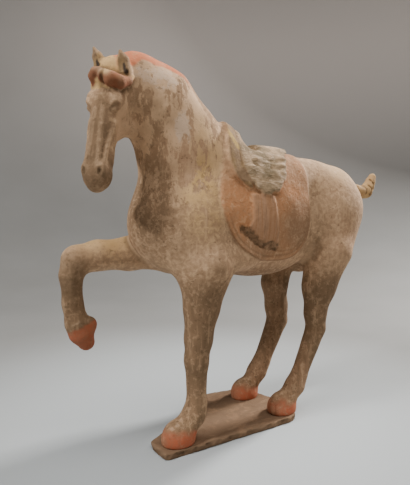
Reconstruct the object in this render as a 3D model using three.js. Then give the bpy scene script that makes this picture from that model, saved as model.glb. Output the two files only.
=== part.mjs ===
import * as THREE from 'three';

// A prancing horse modelled in clay, on a thin slab. Millimetres, +Z up.
// The horse faces -X and its left side is towards -Y. The origin is on the underside of the slab.

// Slab
const SLAB_THICKNESS = 10;
const SLAB_EDGE = 1.2;
const FIT_GAP = 0.3;

// Trunk
const BARREL_X = 66;
const BARREL_HALF_LENGTH = 150;
const BARREL_HALF_WIDTH = 70;
const BACK_Z = 434;
const BELLY_Z = 235;
const CROUP_X = 223;
const CROUP_Z = 350;
const BREAST_X = -100;

// Legs
const LEFT_FORE_Y = -42;
const RIGHT_FORE_Y = 41;
const HIND_Y = 40;
const LEFT_FORE_HOOF_X = -95;

// Head, measured down the face from the poll, then to the left, then out of the forehead
const POLL = [-193, -17, 522];
const HEAD_TURN = 46;
const HEAD_NOD = 12;
const HEAD_TILT = -1.5;
const MUZZLE_DOWN = 142;

// Saddle, worked on both flanks
const SEAT_HEIGHT = 7;
const POMMEL_HEIGHT = 6;
const CLOTH_HEIGHT = 2.5;
const FLAP_HEIGHT = 2.5;
const CLOTH_FRONT_X = -46;
const CLOTH_BACK_X = 131;
const CLOTH_FOOT_Z = 265;

// Fineness of the faceted skin
const GRID_STEP = 4.5;
const HORSE_FACES = 8400;
const TAIL_FACES = 360;

const FAR = 60;
const REACH = 20;

function headAxes() {
  const turn = THREE.MathUtils.degToRad(HEAD_TURN);
  const nod = THREE.MathUtils.degToRad(HEAD_NOD);
  const tilt = THREE.MathUtils.degToRad(HEAD_TILT);
  const ahead = new THREE.Vector3(-Math.cos(turn), -Math.sin(turn), 0);
  const left = new THREE.Vector3(Math.sin(turn), -Math.cos(turn), 0);
  const floorward = new THREE.Vector3(0, 0, -1);
  const down = floorward.clone().multiplyScalar(Math.cos(nod)).addScaledVector(ahead, Math.sin(nod));
  const out = ahead.clone().multiplyScalar(Math.cos(nod)).addScaledVector(floorward, -Math.sin(nod));
  const tiltedDown = down.clone().multiplyScalar(Math.cos(tilt)).addScaledVector(left, Math.sin(tilt));
  const tiltedLeft = left.clone().multiplyScalar(Math.cos(tilt)).addScaledVector(down, -Math.sin(tilt));
  return [tiltedDown, tiltedLeft, out].map((axis) => axis.toArray());
}

const WORLD = [[1, 0, 0], [0, 1, 0], [0, 0, 1]];
const HEAD = headAxes();

function onHead(down, left, out) {
  return POLL.map((value, i) => value + down * HEAD[0][i] + left * HEAD[1][i] + out * HEAD[2][i]);
}

// Shapes: each has a box and a distance that is negative inside
function egg(centre, radii, axes = WORLD) {
  const half = [0, 1, 2].map((i) => Math.hypot(...radii.map((r, k) => r * axes[k][i])));
  return {
    low: centre.map((c, i) => c - half[i]),
    high: centre.map((c, i) => c + half[i]),
    distance(x, y, z) {
      const p = [x - centre[0], y - centre[1], z - centre[2]];
      let near = 0;
      let slope = 0;
      for (let k = 0; k < 3; k += 1) {
        const q = (p[0] * axes[k][0] + p[1] * axes[k][1] + p[2] * axes[k][2]) / radii[k];
        near += q * q;
        slope += (q / radii[k]) ** 2;
      }
      near = Math.sqrt(near);
      return (near * (near - 1)) / (Math.sqrt(slope) + 1e-9);
    },
  };
}

// A tapered round bar, thinned across the horse when flat is over 1
function limb(from, to, fromRadius, toRadius, flat = 1) {
  const along = to.map((v, i) => v - from[i]);
  const lengthSquared = Math.max(along.reduce((sum, v) => sum + v * v, 0), 1e-9);
  const widest = Math.max(fromRadius, toRadius);
  return {
    low: from.map((v, i) => Math.min(v, to[i]) - widest),
    high: from.map((v, i) => Math.max(v, to[i]) + widest),
    distance(x, y, z) {
      const p = [x - from[0], y - from[1], z - from[2]];
      const dot = (p[0] * along[0] + p[1] * along[1] + p[2] * along[2]) / lengthSquared;
      const t = Math.min(Math.max(dot, 0), 1);
      const [u, v, w] = p.map((value, i) => value - t * along[i]);
      const r = fromRadius + (toRadius - fromRadius) * t;
      if (flat === 1) return Math.hypot(u, v, w) - r;
      const near = Math.hypot(u, w, v * flat) / r;
      const slope = Math.hypot(u, w, v * flat * flat) / (r * r) + 1e-9;
      return (near * (near - 1)) / slope;
    },
  };
}

function below(height, low, high) {
  return { low, high, distance: (x, y, z) => z - height };
}

// Clay: shapes joined, cut and raised one after another
class Clay {
  constructor() {
    this.steps = [];
  }

  add(shape, margin, apply) {
    const low = shape.low.map((v) => v - margin);
    const high = shape.high.map((v) => v + margin);
    this.steps.push({ low, high, shape, apply });
  }

  join(shape, blend) {
    this.add(shape, REACH + blend, (d, b) => {
      const h = Math.max(blend - Math.abs(d - b), 0) / blend;
      return Math.min(d, b) - (h * h * h * blend) / 6;
    });
  }

  cut(shape, blend) {
    this.add(shape, REACH + blend, (d, b) => {
      const h = Math.max(blend - Math.abs(d + b), 0) / blend;
      return Math.max(d, -b) + (h * h * h * blend) / 6;
    });
  }

  raise(region, height, edge) {
    this.add(region, 0, (d, b) => d - height * THREE.MathUtils.smoothstep(-b, -edge, edge));
  }

  chain(points, blend, flat = 1) {
    for (let i = 1; i < points.length; i += 1) {
      const [from, to] = [points[i - 1], points[i]];
      this.join(limb(from.slice(0, 3), to.slice(0, 3), from[3], to[3], flat), blend);
    }
  }

  distance(x, y, z) {
    let d = FAR;
    for (const { low, high, shape, apply } of this.steps) {
      if (x < low[0] || y < low[1] || z < low[2] || x > high[0] || y > high[1] || z > high[2]) continue;
      d = apply(d, shape.distance(x, y, z));
    }
    return d;
  }

  slope(x, y, z, h = 0.5) {
    const g = new THREE.Vector3(
      this.distance(x + h, y, z) - this.distance(x - h, y, z),
      this.distance(x, y + h, z) - this.distance(x, y - h, z),
      this.distance(x, y, z + h) - this.distance(x, y, z - h),
    );
    return g.normalize();
  }
}

function modelTrunk(clay) {
  const middle = (BACK_Z + BELLY_Z) / 2;
  const depth = (BACK_Z - BELLY_Z) / 2;
  clay.join(egg([BARREL_X, 0, middle], [BARREL_HALF_LENGTH, BARREL_HALF_WIDTH, depth]), 20);
  clay.chain([[40, 0, BACK_Z - 34, 40], [150, 0, BACK_Z - 38, 40], [224, 0, BACK_Z - 50, 40]], 30, 0.9);
  clay.join(egg([-56, 0, 330], [86, 64, 86]), 40);
  clay.join(egg([BREAST_X, 0, 318], [52, 52, 56]), 30);
  clay.join(egg([CROUP_X, 0, CROUP_Z], [84, 68, 76]), 50);
  for (const side of [-1, 1]) {
    clay.join(egg([206, side * 32, 312], [60, 40, 82]), 30);
    clay.join(egg([-62, side * 40, 300], [50, 30, 58]), 25);
  }
}

function modelNeck(clay) {
  const crest = [[-24, 0, 385, 80], [-74, 0, 435, 67], [-114, 0, 490, 57], [-147, 0, 514, 40], [-168, -2, 508, 36]];
  clay.chain(crest, 22, 1.5);
  clay.join(limb([-95, 0, 398], [-101, 0, 337], 40, 46, 1.2), 30);
}

// High withers, the dip where a rider sits and the swell behind it
function modelBack(clay) {
  clay.join(limb([-24, 0, 444], [10, 0, 449], 22, 20, 1.2), 20);
  for (const [x, z, radius] of [[44, 456, 24.5], [40, 482, 30]]) {
    clay.cut(limb([x, -80, z], [x, 80, z], radius, radius), 6);
  }
  clay.join(limb([66, 0, 420], [93, 0, 420.5], 20, 20, 0.55), 8);
}

function headChain(clay, points, blend) {
  clay.chain(points.map(([down, left, out, r]) => [...onHead(down, left, out), r]), blend);
}

function modelHead(clay) {
  const m = MUZZLE_DOWN;
  headChain(clay, [[7, 0, -22, 31], [40, 0, -16, 26]], 14);
  clay.join(egg(onHead(-2, 3, -8), [17.5, 20, 16], HEAD), 8);
  clay.join(egg(onHead(50, 0, -32), [36, 20, 26], HEAD), 12);
  clay.join(limb([-174, -5, 455], [-140, -3, 452], 13, 13), 14);
  headChain(clay, [[44, 0, -8, 21], [78, 0.5, -4, 16.5], [122, 2, -3, 17.5]], 12);
  clay.join(limb(onHead(70, 0, -24), onHead(m - 12, 2, -11), 14, 10), 12);
  clay.join(egg(onHead(m, 2.5, -1), [20.5, 18.5, 19], HEAD), 10);
  clay.join(egg(onHead(m + 5, -4, -14), [14, 14, 13], HEAD), 8);
  for (const side of [-1, 1]) {
    clay.join(egg(onHead(43, side * 16, 1), [12, 8, 10], HEAD), 8);
    clay.join(egg(onHead(m - 5, 2.5 + side * 10.5, 9), [10, 7, 8], HEAD), 6);
    clay.cut(egg(onHead(m, 2.5 + side * 11, 19), [6, 3.5, 6], HEAD), 3);
  }
}

// Each ear is an upright leaf with a hollow in front
function modelEars(clay) {
  headChain(clay, [[-22, 15, 3, 2.8], [-11, 19, 0, 7.5], [2, 21, -3, 9.5], [10, 20, -6, 9]], 5);
  clay.cut(egg(onHead(-2, 21, 9.5), [12, 4.6, 6], HEAD), 4);
  headChain(clay, [[-28, -22.5, 3, 3], [-17, -17, 1, 7.2], [-5, -12.5, -2, 8.5], [5, -12, -5, 8]], 5);
  clay.cut(egg(onHead(-9, -16, 9.5), [10, 3.2, 5], HEAD), 4);
}

function modelForelock(clay) {
  headChain(clay, [[11, -4, 14, 6], [17, 2, 14.5, 8.3], [21, 11.6, 13.5, 9.3]], 7);
  headChain(clay, [[21, 11.6, 13.5, 9.3], [22, 21, 7, 8.6], [16, 28, -4, 6], [8, 31, -9, 4]], 7);
  headChain(clay, [[10, -6, 14, 6], [11, -11, 12, 7.2], [14, -15, 7, 7.8], [20, -15, 4, 6]], 7);
  clay.join(egg(onHead(18, -6, 8), [8, 9, 7], HEAD), 6);
}

function modelHoof(clay, x, y) {
  clay.join(egg([x, y, SLAB_THICKNESS + 12], [27, 21, 22]), 8);
}

// A leg's joints, given as x, z and radius, stand in one plane along the horse
function legChain(clay, y, joints, blend, flat = 1) {
  clay.chain(joints.map(([x, z, r]) => [x, y, z, r]), blend, flat);
}

function modelStandingForeleg(clay) {
  const y = LEFT_FORE_Y;
  legChain(clay, y, [[-56, 257, 42], [-60, 203, 26.5], [-65, 155, 20], [-67, 122, 16.8]], 12);
  legChain(clay, y, [[-67, 122, 16.8], [-66, 60, 14.5], [-71, 44, 16.5], [-88, 26, 17]], 12);
  clay.join(egg([-78, y, 129], [7.5, 12, 15]), 9);
  modelHoof(clay, LEFT_FORE_HOOF_X, y);
}

function modelRaisedForeleg(clay) {
  const y = RIGHT_FORE_Y;
  legChain(clay, y, [[-84, 280, 31], [-138, 275.5, 25], [-186, 274.5, 21.7], [-217, 268.5, 21]], 12);
  legChain(clay, y, [[-217, 268.5, 21], [-225, 248, 15.8], [-223, 208, 14], [-217, 179, 17]], 10);
  legChain(clay, y, [[-217, 179, 17], [-211, 164, 17.5], [-204, 150, 12.8]], 6);
  clay.join(egg([-199, y, 175], [11, 12, 12]), 10);
}

// The left hind leg stands further back and straighter than the right one
const LEFT_HIND = {
  y: -HIND_Y,
  thigh: [[200, 276, 46], [182, 215, 31], [175, 168, 20], [177, 142, 17]],
  cannon: [[177, 142, 17], [140, 63, 13.5], [132, 49, 16], [112, 28, 15.5]],
  hoofX: 103,
};
const RIGHT_HIND = {
  y: HIND_Y,
  thigh: [[192, 290, 42], [157, 245, 28], [151, 213, 25.5], [156, 168, 21.5], [159, 142, 19]],
  cannon: [[159, 142, 19], [123, 66, 15], [114, 51, 17], [95, 28, 15.5]],
  hoofX: 86,
};

function modelHindLeg(clay, { y, thigh, cannon, hoofX }) {
  legChain(clay, y, thigh, 14, 1.2);
  legChain(clay, y, cannon, 10);
  const [x, z] = cannon[2];
  clay.join(egg([x + 12, y, z + 3], [7, 7, 6]), 5);
  modelHoof(clay, hoofX, y);
}

// Outlines of the saddle pieces as seen from the side, worked on both flanks
function flank(outline, lowX, highX, lowZ, highZ) {
  return {
    low: [lowX, -120, lowZ],
    high: [highX, 120, highZ],
    distance: (x, y, z) => outline(x, z),
  };
}

function clothOutline(x, z) {
  const middleX = 60;
  const middleZ = 360;
  const front = CLOTH_FRONT_X + Math.max(z - middleZ, 0) * 0.25;
  const drop = Math.max(middleZ - z, 0) / (middleZ - CLOTH_FOOT_Z);
  if (x < middleX) return (Math.hypot((middleX - x) / (middleX - front), drop) - 1) * 90;
  const behind = (x - middleX) / (CLOTH_BACK_X - middleX);
  return ((behind ** 4 + drop ** 4) ** 0.25 - 1) * 75;
}

function flapOutline(x, z) {
  const front = 10 - 0.8 * Math.max(330 - z, 0);
  const back = 50 + 0.18 * (360 - z);
  const foot = 288 + 0.5 * Math.max(44 - x, 0);
  return Math.max(front - x, x - back, foot - z, z - 368);
}

function pommelMiddle(z) {
  return 0.0066 * (z - 428) ** 2 - 14.5 + 0.4 * Math.max(395 - z, 0);
}

function pommelHalfWidth(z) {
  return Math.min(11.5, 0.6 * (z - 372));
}

function pommelOutline(x, z) {
  return Math.max(Math.abs(x - pommelMiddle(z)) - pommelHalfWidth(z), 377 - z);
}

function seatOutline(x, z) {
  const drop = Math.max(446 - z, 0);
  const reach = x - 43 + 0.06 * drop;
  const halfLength = reach > 0 ? 48 + 1.4 * Math.max(z - 430, 0) : 48;
  const edge = (Math.hypot(reach / halfLength, drop / 77) - 1) * 45;
  return Math.max(edge, pommelMiddle(z) + pommelHalfWidth(z) - 1.5 - x);
}

function modelSaddle(clay) {
  clay.raise(flank(clothOutline, -60, 145, 255, 500), CLOTH_HEIGHT, 3);
  clay.raise(flank(flapOutline, -30, 75, 280, 375), FLAP_HEIGHT, 3);
  clay.raise(flank(pommelOutline, -40, 40, 374, 500), POMMEL_HEIGHT, 4);
  clay.raise(flank(seatOutline, -20, 135, 360, 500), SEAT_HEIGHT, 4);
}

function modelHorse() {
  const clay = new Clay();
  modelTrunk(clay);
  modelNeck(clay);
  modelBack(clay);
  modelHead(clay);
  modelEars(clay);
  modelForelock(clay);
  modelStandingForeleg(clay);
  modelRaisedForeleg(clay);
  modelHindLeg(clay, LEFT_HIND);
  modelHindLeg(clay, RIGHT_HIND);
  modelSaddle(clay);
  clay.cut(below(SLAB_THICKNESS + FIT_GAP, [-140, -80, 0], [150, 80, SLAB_THICKNESS + 4]), 1);
  return clay;
}

// The tail is a short stub with its root against the rump
function modelTail(horse) {
  const clay = new Clay();
  clay.chain([[300, 0, 392, 12], [318, 0, 388.5, 12], [332, 0, 387, 13], [348, 0, 388, 13.5]], 5);
  clay.chain([[348, 0, 388, 13.5], [356, 0, 397, 11.5], [362, 0, 407, 9.8], [367, 0, 417, 8]], 5);
  const rump = { low: [240, -70, 330], high: [410, 70, 470] };
  rump.distance = (x, y, z) => horse.distance(x, y, z) - FIT_GAP;
  clay.cut(rump, 2);
  return clay;
}

// A skin of quads around the clay, one point in each grid cell that the surface crosses
function skin(clay, low, high, step) {
  const count = low.map((v, i) => Math.ceil((high[i] - v) / step) + 1);
  const at = (i, j, k) => (i * count[1] + j) * count[2] + k;
  const d = new Float64Array(count[0] * count[1] * count[2]);
  for (let i = 0; i < count[0]; i += 1) {
    for (let j = 0; j < count[1]; j += 1) {
      for (let k = 0; k < count[2]; k += 1) {
        d[at(i, j, k)] = clay.distance(low[0] + i * step, low[1] + j * step, low[2] + k * step);
      }
    }
  }
  const corners = [0, 1, 2, 3, 4, 5, 6, 7].map((n) => [n & 1, (n >> 1) & 1, n >> 2]);
  const strides = [at(1, 0, 0), at(0, 1, 0), 1];
  const points = [];
  const cellPoint = new Map();
  for (let i = 0; i < count[0] - 1; i += 1) {
    for (let j = 0; j < count[1] - 1; j += 1) {
      for (let k = 0; k < count[2] - 1; k += 1) {
        const sum = [0, 0, 0];
        let crossings = 0;
        for (const corner of corners) {
          const here = at(i + corner[0], j + corner[1], k + corner[2]);
          for (let axis = 0; axis < 3; axis += 1) {
            if (corner[axis]) continue;
            const there = here + strides[axis];
            if (d[here] < 0 === d[there] < 0) continue;
            const t = d[here] / (d[here] - d[there]);
            for (let n = 0; n < 3; n += 1) sum[n] += corner[n] + (n === axis ? t : 0);
            crossings += 1;
          }
        }
        if (crossings === 0) continue;
        cellPoint.set(at(i, j, k), points.length);
        const cell = [i, j, k];
        points.push(sum.map((v, n) => low[n] + (cell[n] + v / crossings) * step));
      }
    }
  }
  const faces = [];
  for (const [cell] of cellPoint) {
    for (let axis = 0; axis < 3; axis += 1) {
      const there = cell + strides[axis];
      if (d[cell] < 0 === d[there] < 0) continue;
      const [u, v] = [strides[(axis + 1) % 3], strides[(axis + 2) % 3]];
      const quad = [cell, cell - u, cell - u - v, cell - v].map((c) => cellPoint.get(c));
      if (quad.includes(undefined)) continue;
      if (d[cell] >= 0) quad.reverse();
      faces.push([quad[0], quad[1], quad[2]], [quad[0], quad[2], quad[3]]);
    }
  }
  return { points, faces };
}

// Walks a point down the slope until it lies on the clay's surface
function settle(clay, point) {
  let p = point;
  for (let n = 0; n < 3; n += 1) {
    const d = clay.distance(...p);
    const g = clay.slope(...p);
    p = [p[0] - g.x * d, p[1] - g.y * d, p[2] - g.z * d];
  }
  return p;
}

function faceNormal(a, b, c) {
  const u = [b[0] - a[0], b[1] - a[1], b[2] - a[2]];
  const v = [c[0] - a[0], c[1] - a[1], c[2] - a[2]];
  const n = [u[1] * v[2] - u[2] * v[1], u[2] * v[0] - u[0] * v[2], u[0] * v[1] - u[1] * v[0]];
  const length = Math.hypot(...n) + 1e-12;
  return n.map((value) => value / length);
}

// Joins neighbouring points where the surface bends least, until few enough faces are left
function coarsen(clay, mesh, wantedFaces) {
  const points = mesh.points.map((p) => settle(clay, p));
  const normals = points.map((p) => clay.slope(...p));
  let { faces } = mesh;
  while (faces.length > wantedFaces) {
    const around = points.map(() => []);
    faces.forEach((face, f) => face.forEach((p) => around[p].push(f)));
    const edges = [];
    for (const face of faces) {
      for (let n = 0; n < 3; n += 1) {
        const [a, b] = [face[n], face[(n + 1) % 3]];
        if (a > b) continue;
        const length = Math.hypot(...points[a].map((v, i) => v - points[b][i]));
        edges.push({ a, b, cost: length * (1 - normals[a].dot(normals[b]) + 0.004) * length });
      }
    }
    edges.sort((p, q) => p.cost - q.cost);
    const busy = new Set();
    const gone = new Set();
    const most = Math.min(edges.length / 8, (faces.length - wantedFaces) / 2 + 1);
    let joined = 0;
    for (const { a, b } of edges) {
      if (joined >= most) break;
      const ring = [...new Set([...around[a], ...around[b]])];
      const rim = new Set(ring.flatMap((f) => faces[f]));
      if ([...rim].some((p) => busy.has(p))) continue;
      const beside = (p) => new Set(around[p].flatMap((f) => faces[f]));
      const [besideA, besideB] = [beside(a), beside(b)];
      if ([...besideA].filter((p) => besideB.has(p)).length !== 4) continue;
      const middle = settle(clay, points[a].map((v, i) => (v + points[b][i]) / 2));
      const kept = ring.filter((f) => !(faces[f].includes(a) && faces[f].includes(b)));
      const turned = kept.some((f) => {
        const corners = faces[f].map((p) => points[p]);
        const moved = faces[f].map((p) => (p === a || p === b ? middle : points[p]));
        const [before, after] = [faceNormal(...corners), faceNormal(...moved)];
        return before[0] * after[0] + before[1] * after[1] + before[2] * after[2] < 0.6;
      });
      if (turned) continue;
      for (const f of kept) faces[f] = faces[f].map((p) => (p === b ? a : p));
      for (const f of ring) if (!kept.includes(f)) gone.add(f);
      points[a] = middle;
      normals[a] = clay.slope(...middle);
      for (const p of rim) busy.add(p);
      joined += 1;
    }
    faces = faces.filter((face, f) => !gone.has(f));
    if (joined === 0) break;
  }
  return { points, faces };
}

function toGeometry({ points, faces }) {
  const used = [...new Set(faces.flat())].sort((a, b) => a - b);
  const place = new Map(used.map((p, i) => [p, i]));
  const geometry = new THREE.BufferGeometry();
  geometry.setAttribute('position', new THREE.Float32BufferAttribute(used.flatMap((p) => points[p]), 3));
  geometry.setIndex(faces.flatMap((face) => face.map((p) => place.get(p))));
  geometry.computeVertexNormals();
  return geometry;
}

function slabOutline() {
  const outline = new THREE.Shape();
  outline.moveTo(-122.5, -65);
  outline.lineTo(96, -66);
  outline.quadraticCurveTo(118, -66, 123, -50);
  outline.lineTo(127, 8);
  outline.lineTo(118, 40);
  outline.quadraticCurveTo(112, 74, 80, 79);
  outline.lineTo(36, 84);
  outline.quadraticCurveTo(28, 84, 22, 79);
  outline.lineTo(-105, -5);
  outline.lineTo(-128.5, -18);
  outline.quadraticCurveTo(-132.5, -40, -126.5, -62);
  return outline;
}

function slabGeometry() {
  const bevel = { bevelEnabled: true, bevelThickness: SLAB_EDGE, bevelSize: SLAB_EDGE, bevelSegments: 1 };
  const depth = SLAB_THICKNESS - 2 * SLAB_EDGE;
  const shape = { depth, curveSegments: 6, bevelOffset: -SLAB_EDGE, ...bevel };
  return new THREE.ExtrudeGeometry(slabOutline(), shape).translate(0, 0, SLAB_EDGE);
}

function piece(name, geometry, colour, roughness) {
  const material = new THREE.MeshStandardMaterial({ color: colour, roughness, metalness: 0 });
  const mesh = new THREE.Mesh(geometry, material);
  mesh.name = name;
  return mesh;
}

function horseGeometry(clay) {
  return toGeometry(coarsen(clay, skin(clay, [-262, -112, 2], [330, 112, 580], GRID_STEP), HORSE_FACES));
}

function tailGeometry(clay) {
  return toGeometry(coarsen(clay, skin(clay, [290, -20, 365], [386, 20, 440], GRID_STEP * 0.5), TAIL_FACES));
}

const horseClay = modelHorse();
const figure = new THREE.Group();
figure.add(piece('base_slab', slabGeometry(), 0x8a6b4f, 0.95));
figure.add(piece('horse', horseGeometry(horseClay), 0xb79c80, 0.9));
figure.add(piece('tail', tailGeometry(modelTail(horseClay)), 0xb59a6c, 0.9));

export default figure;
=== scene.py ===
"""Prancing clay horse on its slab, modelled, painted and set up for a picture."""

import math

import bpy
import numpy as np
from bpy.props import FloatProperty, FloatVectorProperty, PointerProperty
from mathutils import Matrix, Vector


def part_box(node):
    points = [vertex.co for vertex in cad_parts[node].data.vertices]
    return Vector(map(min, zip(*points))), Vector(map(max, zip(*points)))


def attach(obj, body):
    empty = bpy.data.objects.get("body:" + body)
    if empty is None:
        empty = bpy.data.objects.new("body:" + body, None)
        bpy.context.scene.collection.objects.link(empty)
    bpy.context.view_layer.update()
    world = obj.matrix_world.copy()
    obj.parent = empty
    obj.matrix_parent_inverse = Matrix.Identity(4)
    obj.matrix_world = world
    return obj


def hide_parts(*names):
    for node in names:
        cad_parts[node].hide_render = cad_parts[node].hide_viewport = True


bl_info = {
    "name": "Clay Horse",
    "version": (1, 0, 0),
    "blender": (4, 5, 0),
    "location": "3D View > Sidebar > Clay Horse",
    "description": "Models and paints a saddled clay horse with one foreleg raised",
    "category": "Add Mesh",
}

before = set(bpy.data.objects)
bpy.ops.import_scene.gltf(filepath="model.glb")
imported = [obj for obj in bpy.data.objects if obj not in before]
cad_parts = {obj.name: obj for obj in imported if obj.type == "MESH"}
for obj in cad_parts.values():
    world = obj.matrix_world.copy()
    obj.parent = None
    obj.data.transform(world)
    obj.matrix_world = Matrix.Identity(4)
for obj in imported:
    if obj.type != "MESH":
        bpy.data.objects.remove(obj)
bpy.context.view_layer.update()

# The clay is worked in millimetres and the finished pieces are in metres
MM = 0.001

# Places and angles of the horse, as in the solid model. The horse faces -X and its left side is towards -Y.
POLL = (-193.0, -17.0, 522.0)
HEAD_TURN = 46
HEAD_NOD = 12
HEAD_TILT = -1.5
MUZZLE_DOWN = 142
LEFT_FORE_Y = -42
RIGHT_FORE_Y = 41
HIND_Y = 40
FAR_HIND_SETBACK = -17
CLOTH_FRONT_X = -46
CLOTH_BACK_X = 131
CLOTH_FOOT_Z = 265
CLOTH_MIDDLE_X = 60
CLOTH_WAIST_Z = 360
FORE_HOOF_X = -95
HIND_HOOF_X = 103
SLAB_TOP = 10

# How far under the top of the slab the clay of the hooves is cut off, and how deep its skin may lie
SOLE_SINK = 1.5
SOLE_LIMIT = 2.0

# The paper sweep, in metres, and the turn from one facet of its curve to the next, in degrees
FLOOR_SIDES = 96
FLOOR_RADIUS = 1.1
WALL_CURVE = 1.6
WALL_TOP = 2.6
WALL_FACET = 10

# Width of the camera's frame, in millimetres
FRAME_WIDTH = 36.0

# The square lights and the place they are turned to, in metres
LIGHT_TARGET = (0.03, 0.0, 0.25)
TAIL_END_LIGHT = {"place": (1.7, 0.12, 1.35), "side": 0.18, "colour": (1.0, 0.98, 0.96)}
BREAST_LIGHT = {"place": (-1.7, -0.06, 1.35), "side": 0.2, "colour": (0.98, 0.99, 1.0)}
CEILING_LIGHT = {"place": (-0.05, -0.35, 1.9), "side": 1.2, "colour": (1.0, 0.99, 0.98)}


def length_property(name, description, default, least=0.0):
    """A length that can be set in the sidebar"""
    return FloatProperty(name=name, description=description, default=default, min=least, unit="LENGTH")


def power_property(name, description, default):
    """The strength of a light, in watts"""
    return FloatProperty(name=name, description=description, default=default, min=0.0, unit="POWER")


class ClaySizes(bpy.types.PropertyGroup):
    """Sizes of the clay work that the solid model leaves plain"""

    skin_step: length_property("Skin Step", "Spacing of the points in the horse's skin", 0.0026, 0.0015)
    head_step: length_property("Head Step", "Spacing of the points round the face and ears", 0.0015, 0.001)
    cloth_height: length_property("Cloth Height", "How far the saddle cloth stands off the flank", 0.0025)
    flap_height: length_property("Flap Height", "How far the saddle flap stands off the cloth", 0.0025)
    pommel_height: length_property("Pommel Height", "How far the band over the withers stands out", 0.006)
    seat_height: length_property("Seat Height", "How far the seat cover stands off the back", 0.007)
    eye_slit: length_property("Eye Slit", "Radius of the cut between the eyelids", 0.0009)
    ridge: length_property("Face Ridge", "Radius of the ridges down the nose", 0.0026)
    hand_ripple: length_property(
        "Hand Ripple", "Depth of the unevenness left by modelling with the hands", 0.0008
    )
    slab_step: length_property("Slab Step", "Spacing of the points in the slab's skin", 0.0021, 0.001)
    slab_wear: length_property("Slab Wear", "Depth of the chips along the slab's edge", 0.0016)


def colour_property(name, description, default):
    """A colour that can be picked in the sidebar, in linear values"""
    return FloatVectorProperty(
        name=name,
        description=description,
        subtype="COLOR",
        size=3,
        min=0.0,
        max=1.0,
        default=default,
    )


class PaintColours(bpy.types.PropertyGroup):
    """Colours of the clay, the slip and the pigments"""

    clay: colour_property("Clay", "Bare fired clay", (0.315, 0.184, 0.100))
    # Earth is also the colour of painted shade: in hollows and creases, under the forelock's curls and
    # under the belly
    earth: colour_property("Earth", "Brown earth caught in the surface", (0.120, 0.074, 0.038))
    slip: colour_property("Slip", "Pale slip brushed over the clay", (0.78, 0.51, 0.30))
    chalk: colour_property("Chalk", "Whitish slip where it is thickest", (0.74, 0.55, 0.40))
    # This yellow also paints a highlight on the upper side of the rump
    ochre: colour_property("Ochre", "Yellow tint on the shoulder and crown", (0.62, 0.38, 0.115))
    rose: colour_property("Rose", "Faint red worn off the croup and thighs", (0.50, 0.28, 0.16))
    orange: colour_property("Orange", "Pigment of the saddle cloth", (0.56, 0.240, 0.100))
    salmon: colour_property("Salmon", "Pigment of the mane and forelock", (0.62, 0.19, 0.085))
    red: colour_property("Red", "Pigment of the hooves", (0.46, 0.100, 0.042))
    grey: colour_property("Grey Green", "Pigment of the saddle", (0.235, 0.170, 0.094))
    strap: colour_property("Strap", "Yellow streak down the band over the withers", (0.50, 0.32, 0.085))
    # The dark colour of the painted shade in the ear hollows and eye slits, and of the dark strokes on the
    # seat
    ink_and_shade: colour_property("Ink", "Dark paint in the eyes and ears", (0.03, 0.02, 0.015))
    slab: colour_property("Slab", "Rough clay of the slab", (0.205, 0.123, 0.071))
    tail: colour_property("Tail", "Yellow clay of the tail", (0.56, 0.35, 0.155))
    # The paper's colours paint its light: pale near the figure, darker further off, brighter and warmer
    # high on the wall
    floor: colour_property("Floor", "Pale paper round the figure", (0.45, 0.475, 0.48))
    floor_cloud: colour_property("Floor Cloud", "Faint clouds in the paper", (0.70, 0.71, 0.70))
    far_floor_shade: colour_property("Far Floor", "Greyer paper further away", (0.215, 0.21, 0.198))
    high_wall_light: colour_property("High Wall", "Warm grey paper high on the wall", (0.80, 0.72, 0.66))


class StudioPlaces(bpy.types.PropertyGroup):
    """Where the camera stands and how strong the lights are"""

    camera_at: FloatVectorProperty(
        name="Camera",
        description="Where the camera stands",
        subtype="TRANSLATION",
        size=3,
        default=(-0.39607, -0.57674, 0.33553),
    )
    heading: FloatProperty(
        name="Heading",
        description="Turn of the camera from looking along +Y",
        subtype="ANGLE",
        default=math.radians(-32.4276),
    )
    dip: FloatProperty(
        name="Dip",
        description="How far the camera looks down",
        subtype="ANGLE",
        default=math.radians(3.5763),
    )
    roll: FloatProperty(
        name="Roll",
        description="Turn of the camera about its own line of sight",
        subtype="ANGLE",
        default=math.radians(1.0),
    )
    lens: FloatProperty(
        name="Lens",
        description="Focal length, in millimetres on a 36 mm frame",
        subtype="DISTANCE_CAMERA",
        default=32.66,
    )
    tail_end_power: power_property("Tail End Light", "Strength of the light behind the tail", 68.0)
    breast_power: power_property("Breast Light", "Strength of the light in front of the breast", 27.0)
    ceiling_power: power_property("Ceiling Light", "Strength of the broad light overhead", 28.0)
    air_strength: FloatProperty(
        name="Air Light",
        description="Strength of the faint light from all round",
        subtype="FACTOR",
        default=0.04,
        min=0.0,
        max=1.0,
    )
    air: colour_property("Air", "Colour of the faint light from all round", (0.80, 0.83, 0.87))


def head_axes():
    """Directions down the face, to the horse's left and out of the forehead"""
    turn, nod, tilt = (math.radians(a) for a in (HEAD_TURN, HEAD_NOD, HEAD_TILT))
    ahead = np.array([-math.cos(turn), -math.sin(turn), 0.0])
    left = np.array([math.sin(turn), -math.cos(turn), 0.0])
    floorward = np.array([0.0, 0.0, -1.0])
    down = floorward * math.cos(nod) + ahead * math.sin(nod)
    out = ahead * math.cos(nod) - floorward * math.sin(nod)
    tilted_down = down * math.cos(tilt) + left * math.sin(tilt)
    tilted_left = left * math.cos(tilt) - down * math.sin(tilt)
    return np.array([tilted_down, tilted_left, out])


HEAD = head_axes()
WORLD = np.eye(3)


def on_head(down, left, out):
    """A place given down the face, to the horse's left and out of the forehead"""
    return np.array(POLL) + down * HEAD[0] + left * HEAD[1] + out * HEAD[2]


def smooth(value, low, high):
    """0 below low, 1 above high and a smooth curve between"""
    t = np.clip((value - low) / (high - low), 0.0, 1.0)
    return t * t * (3.0 - 2.0 * t)


# Waves added up in a ripple, and what their sum is divided by to stay between about -1 and 1
WAVES = 14
WAVE_SUM = 3.7


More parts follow.
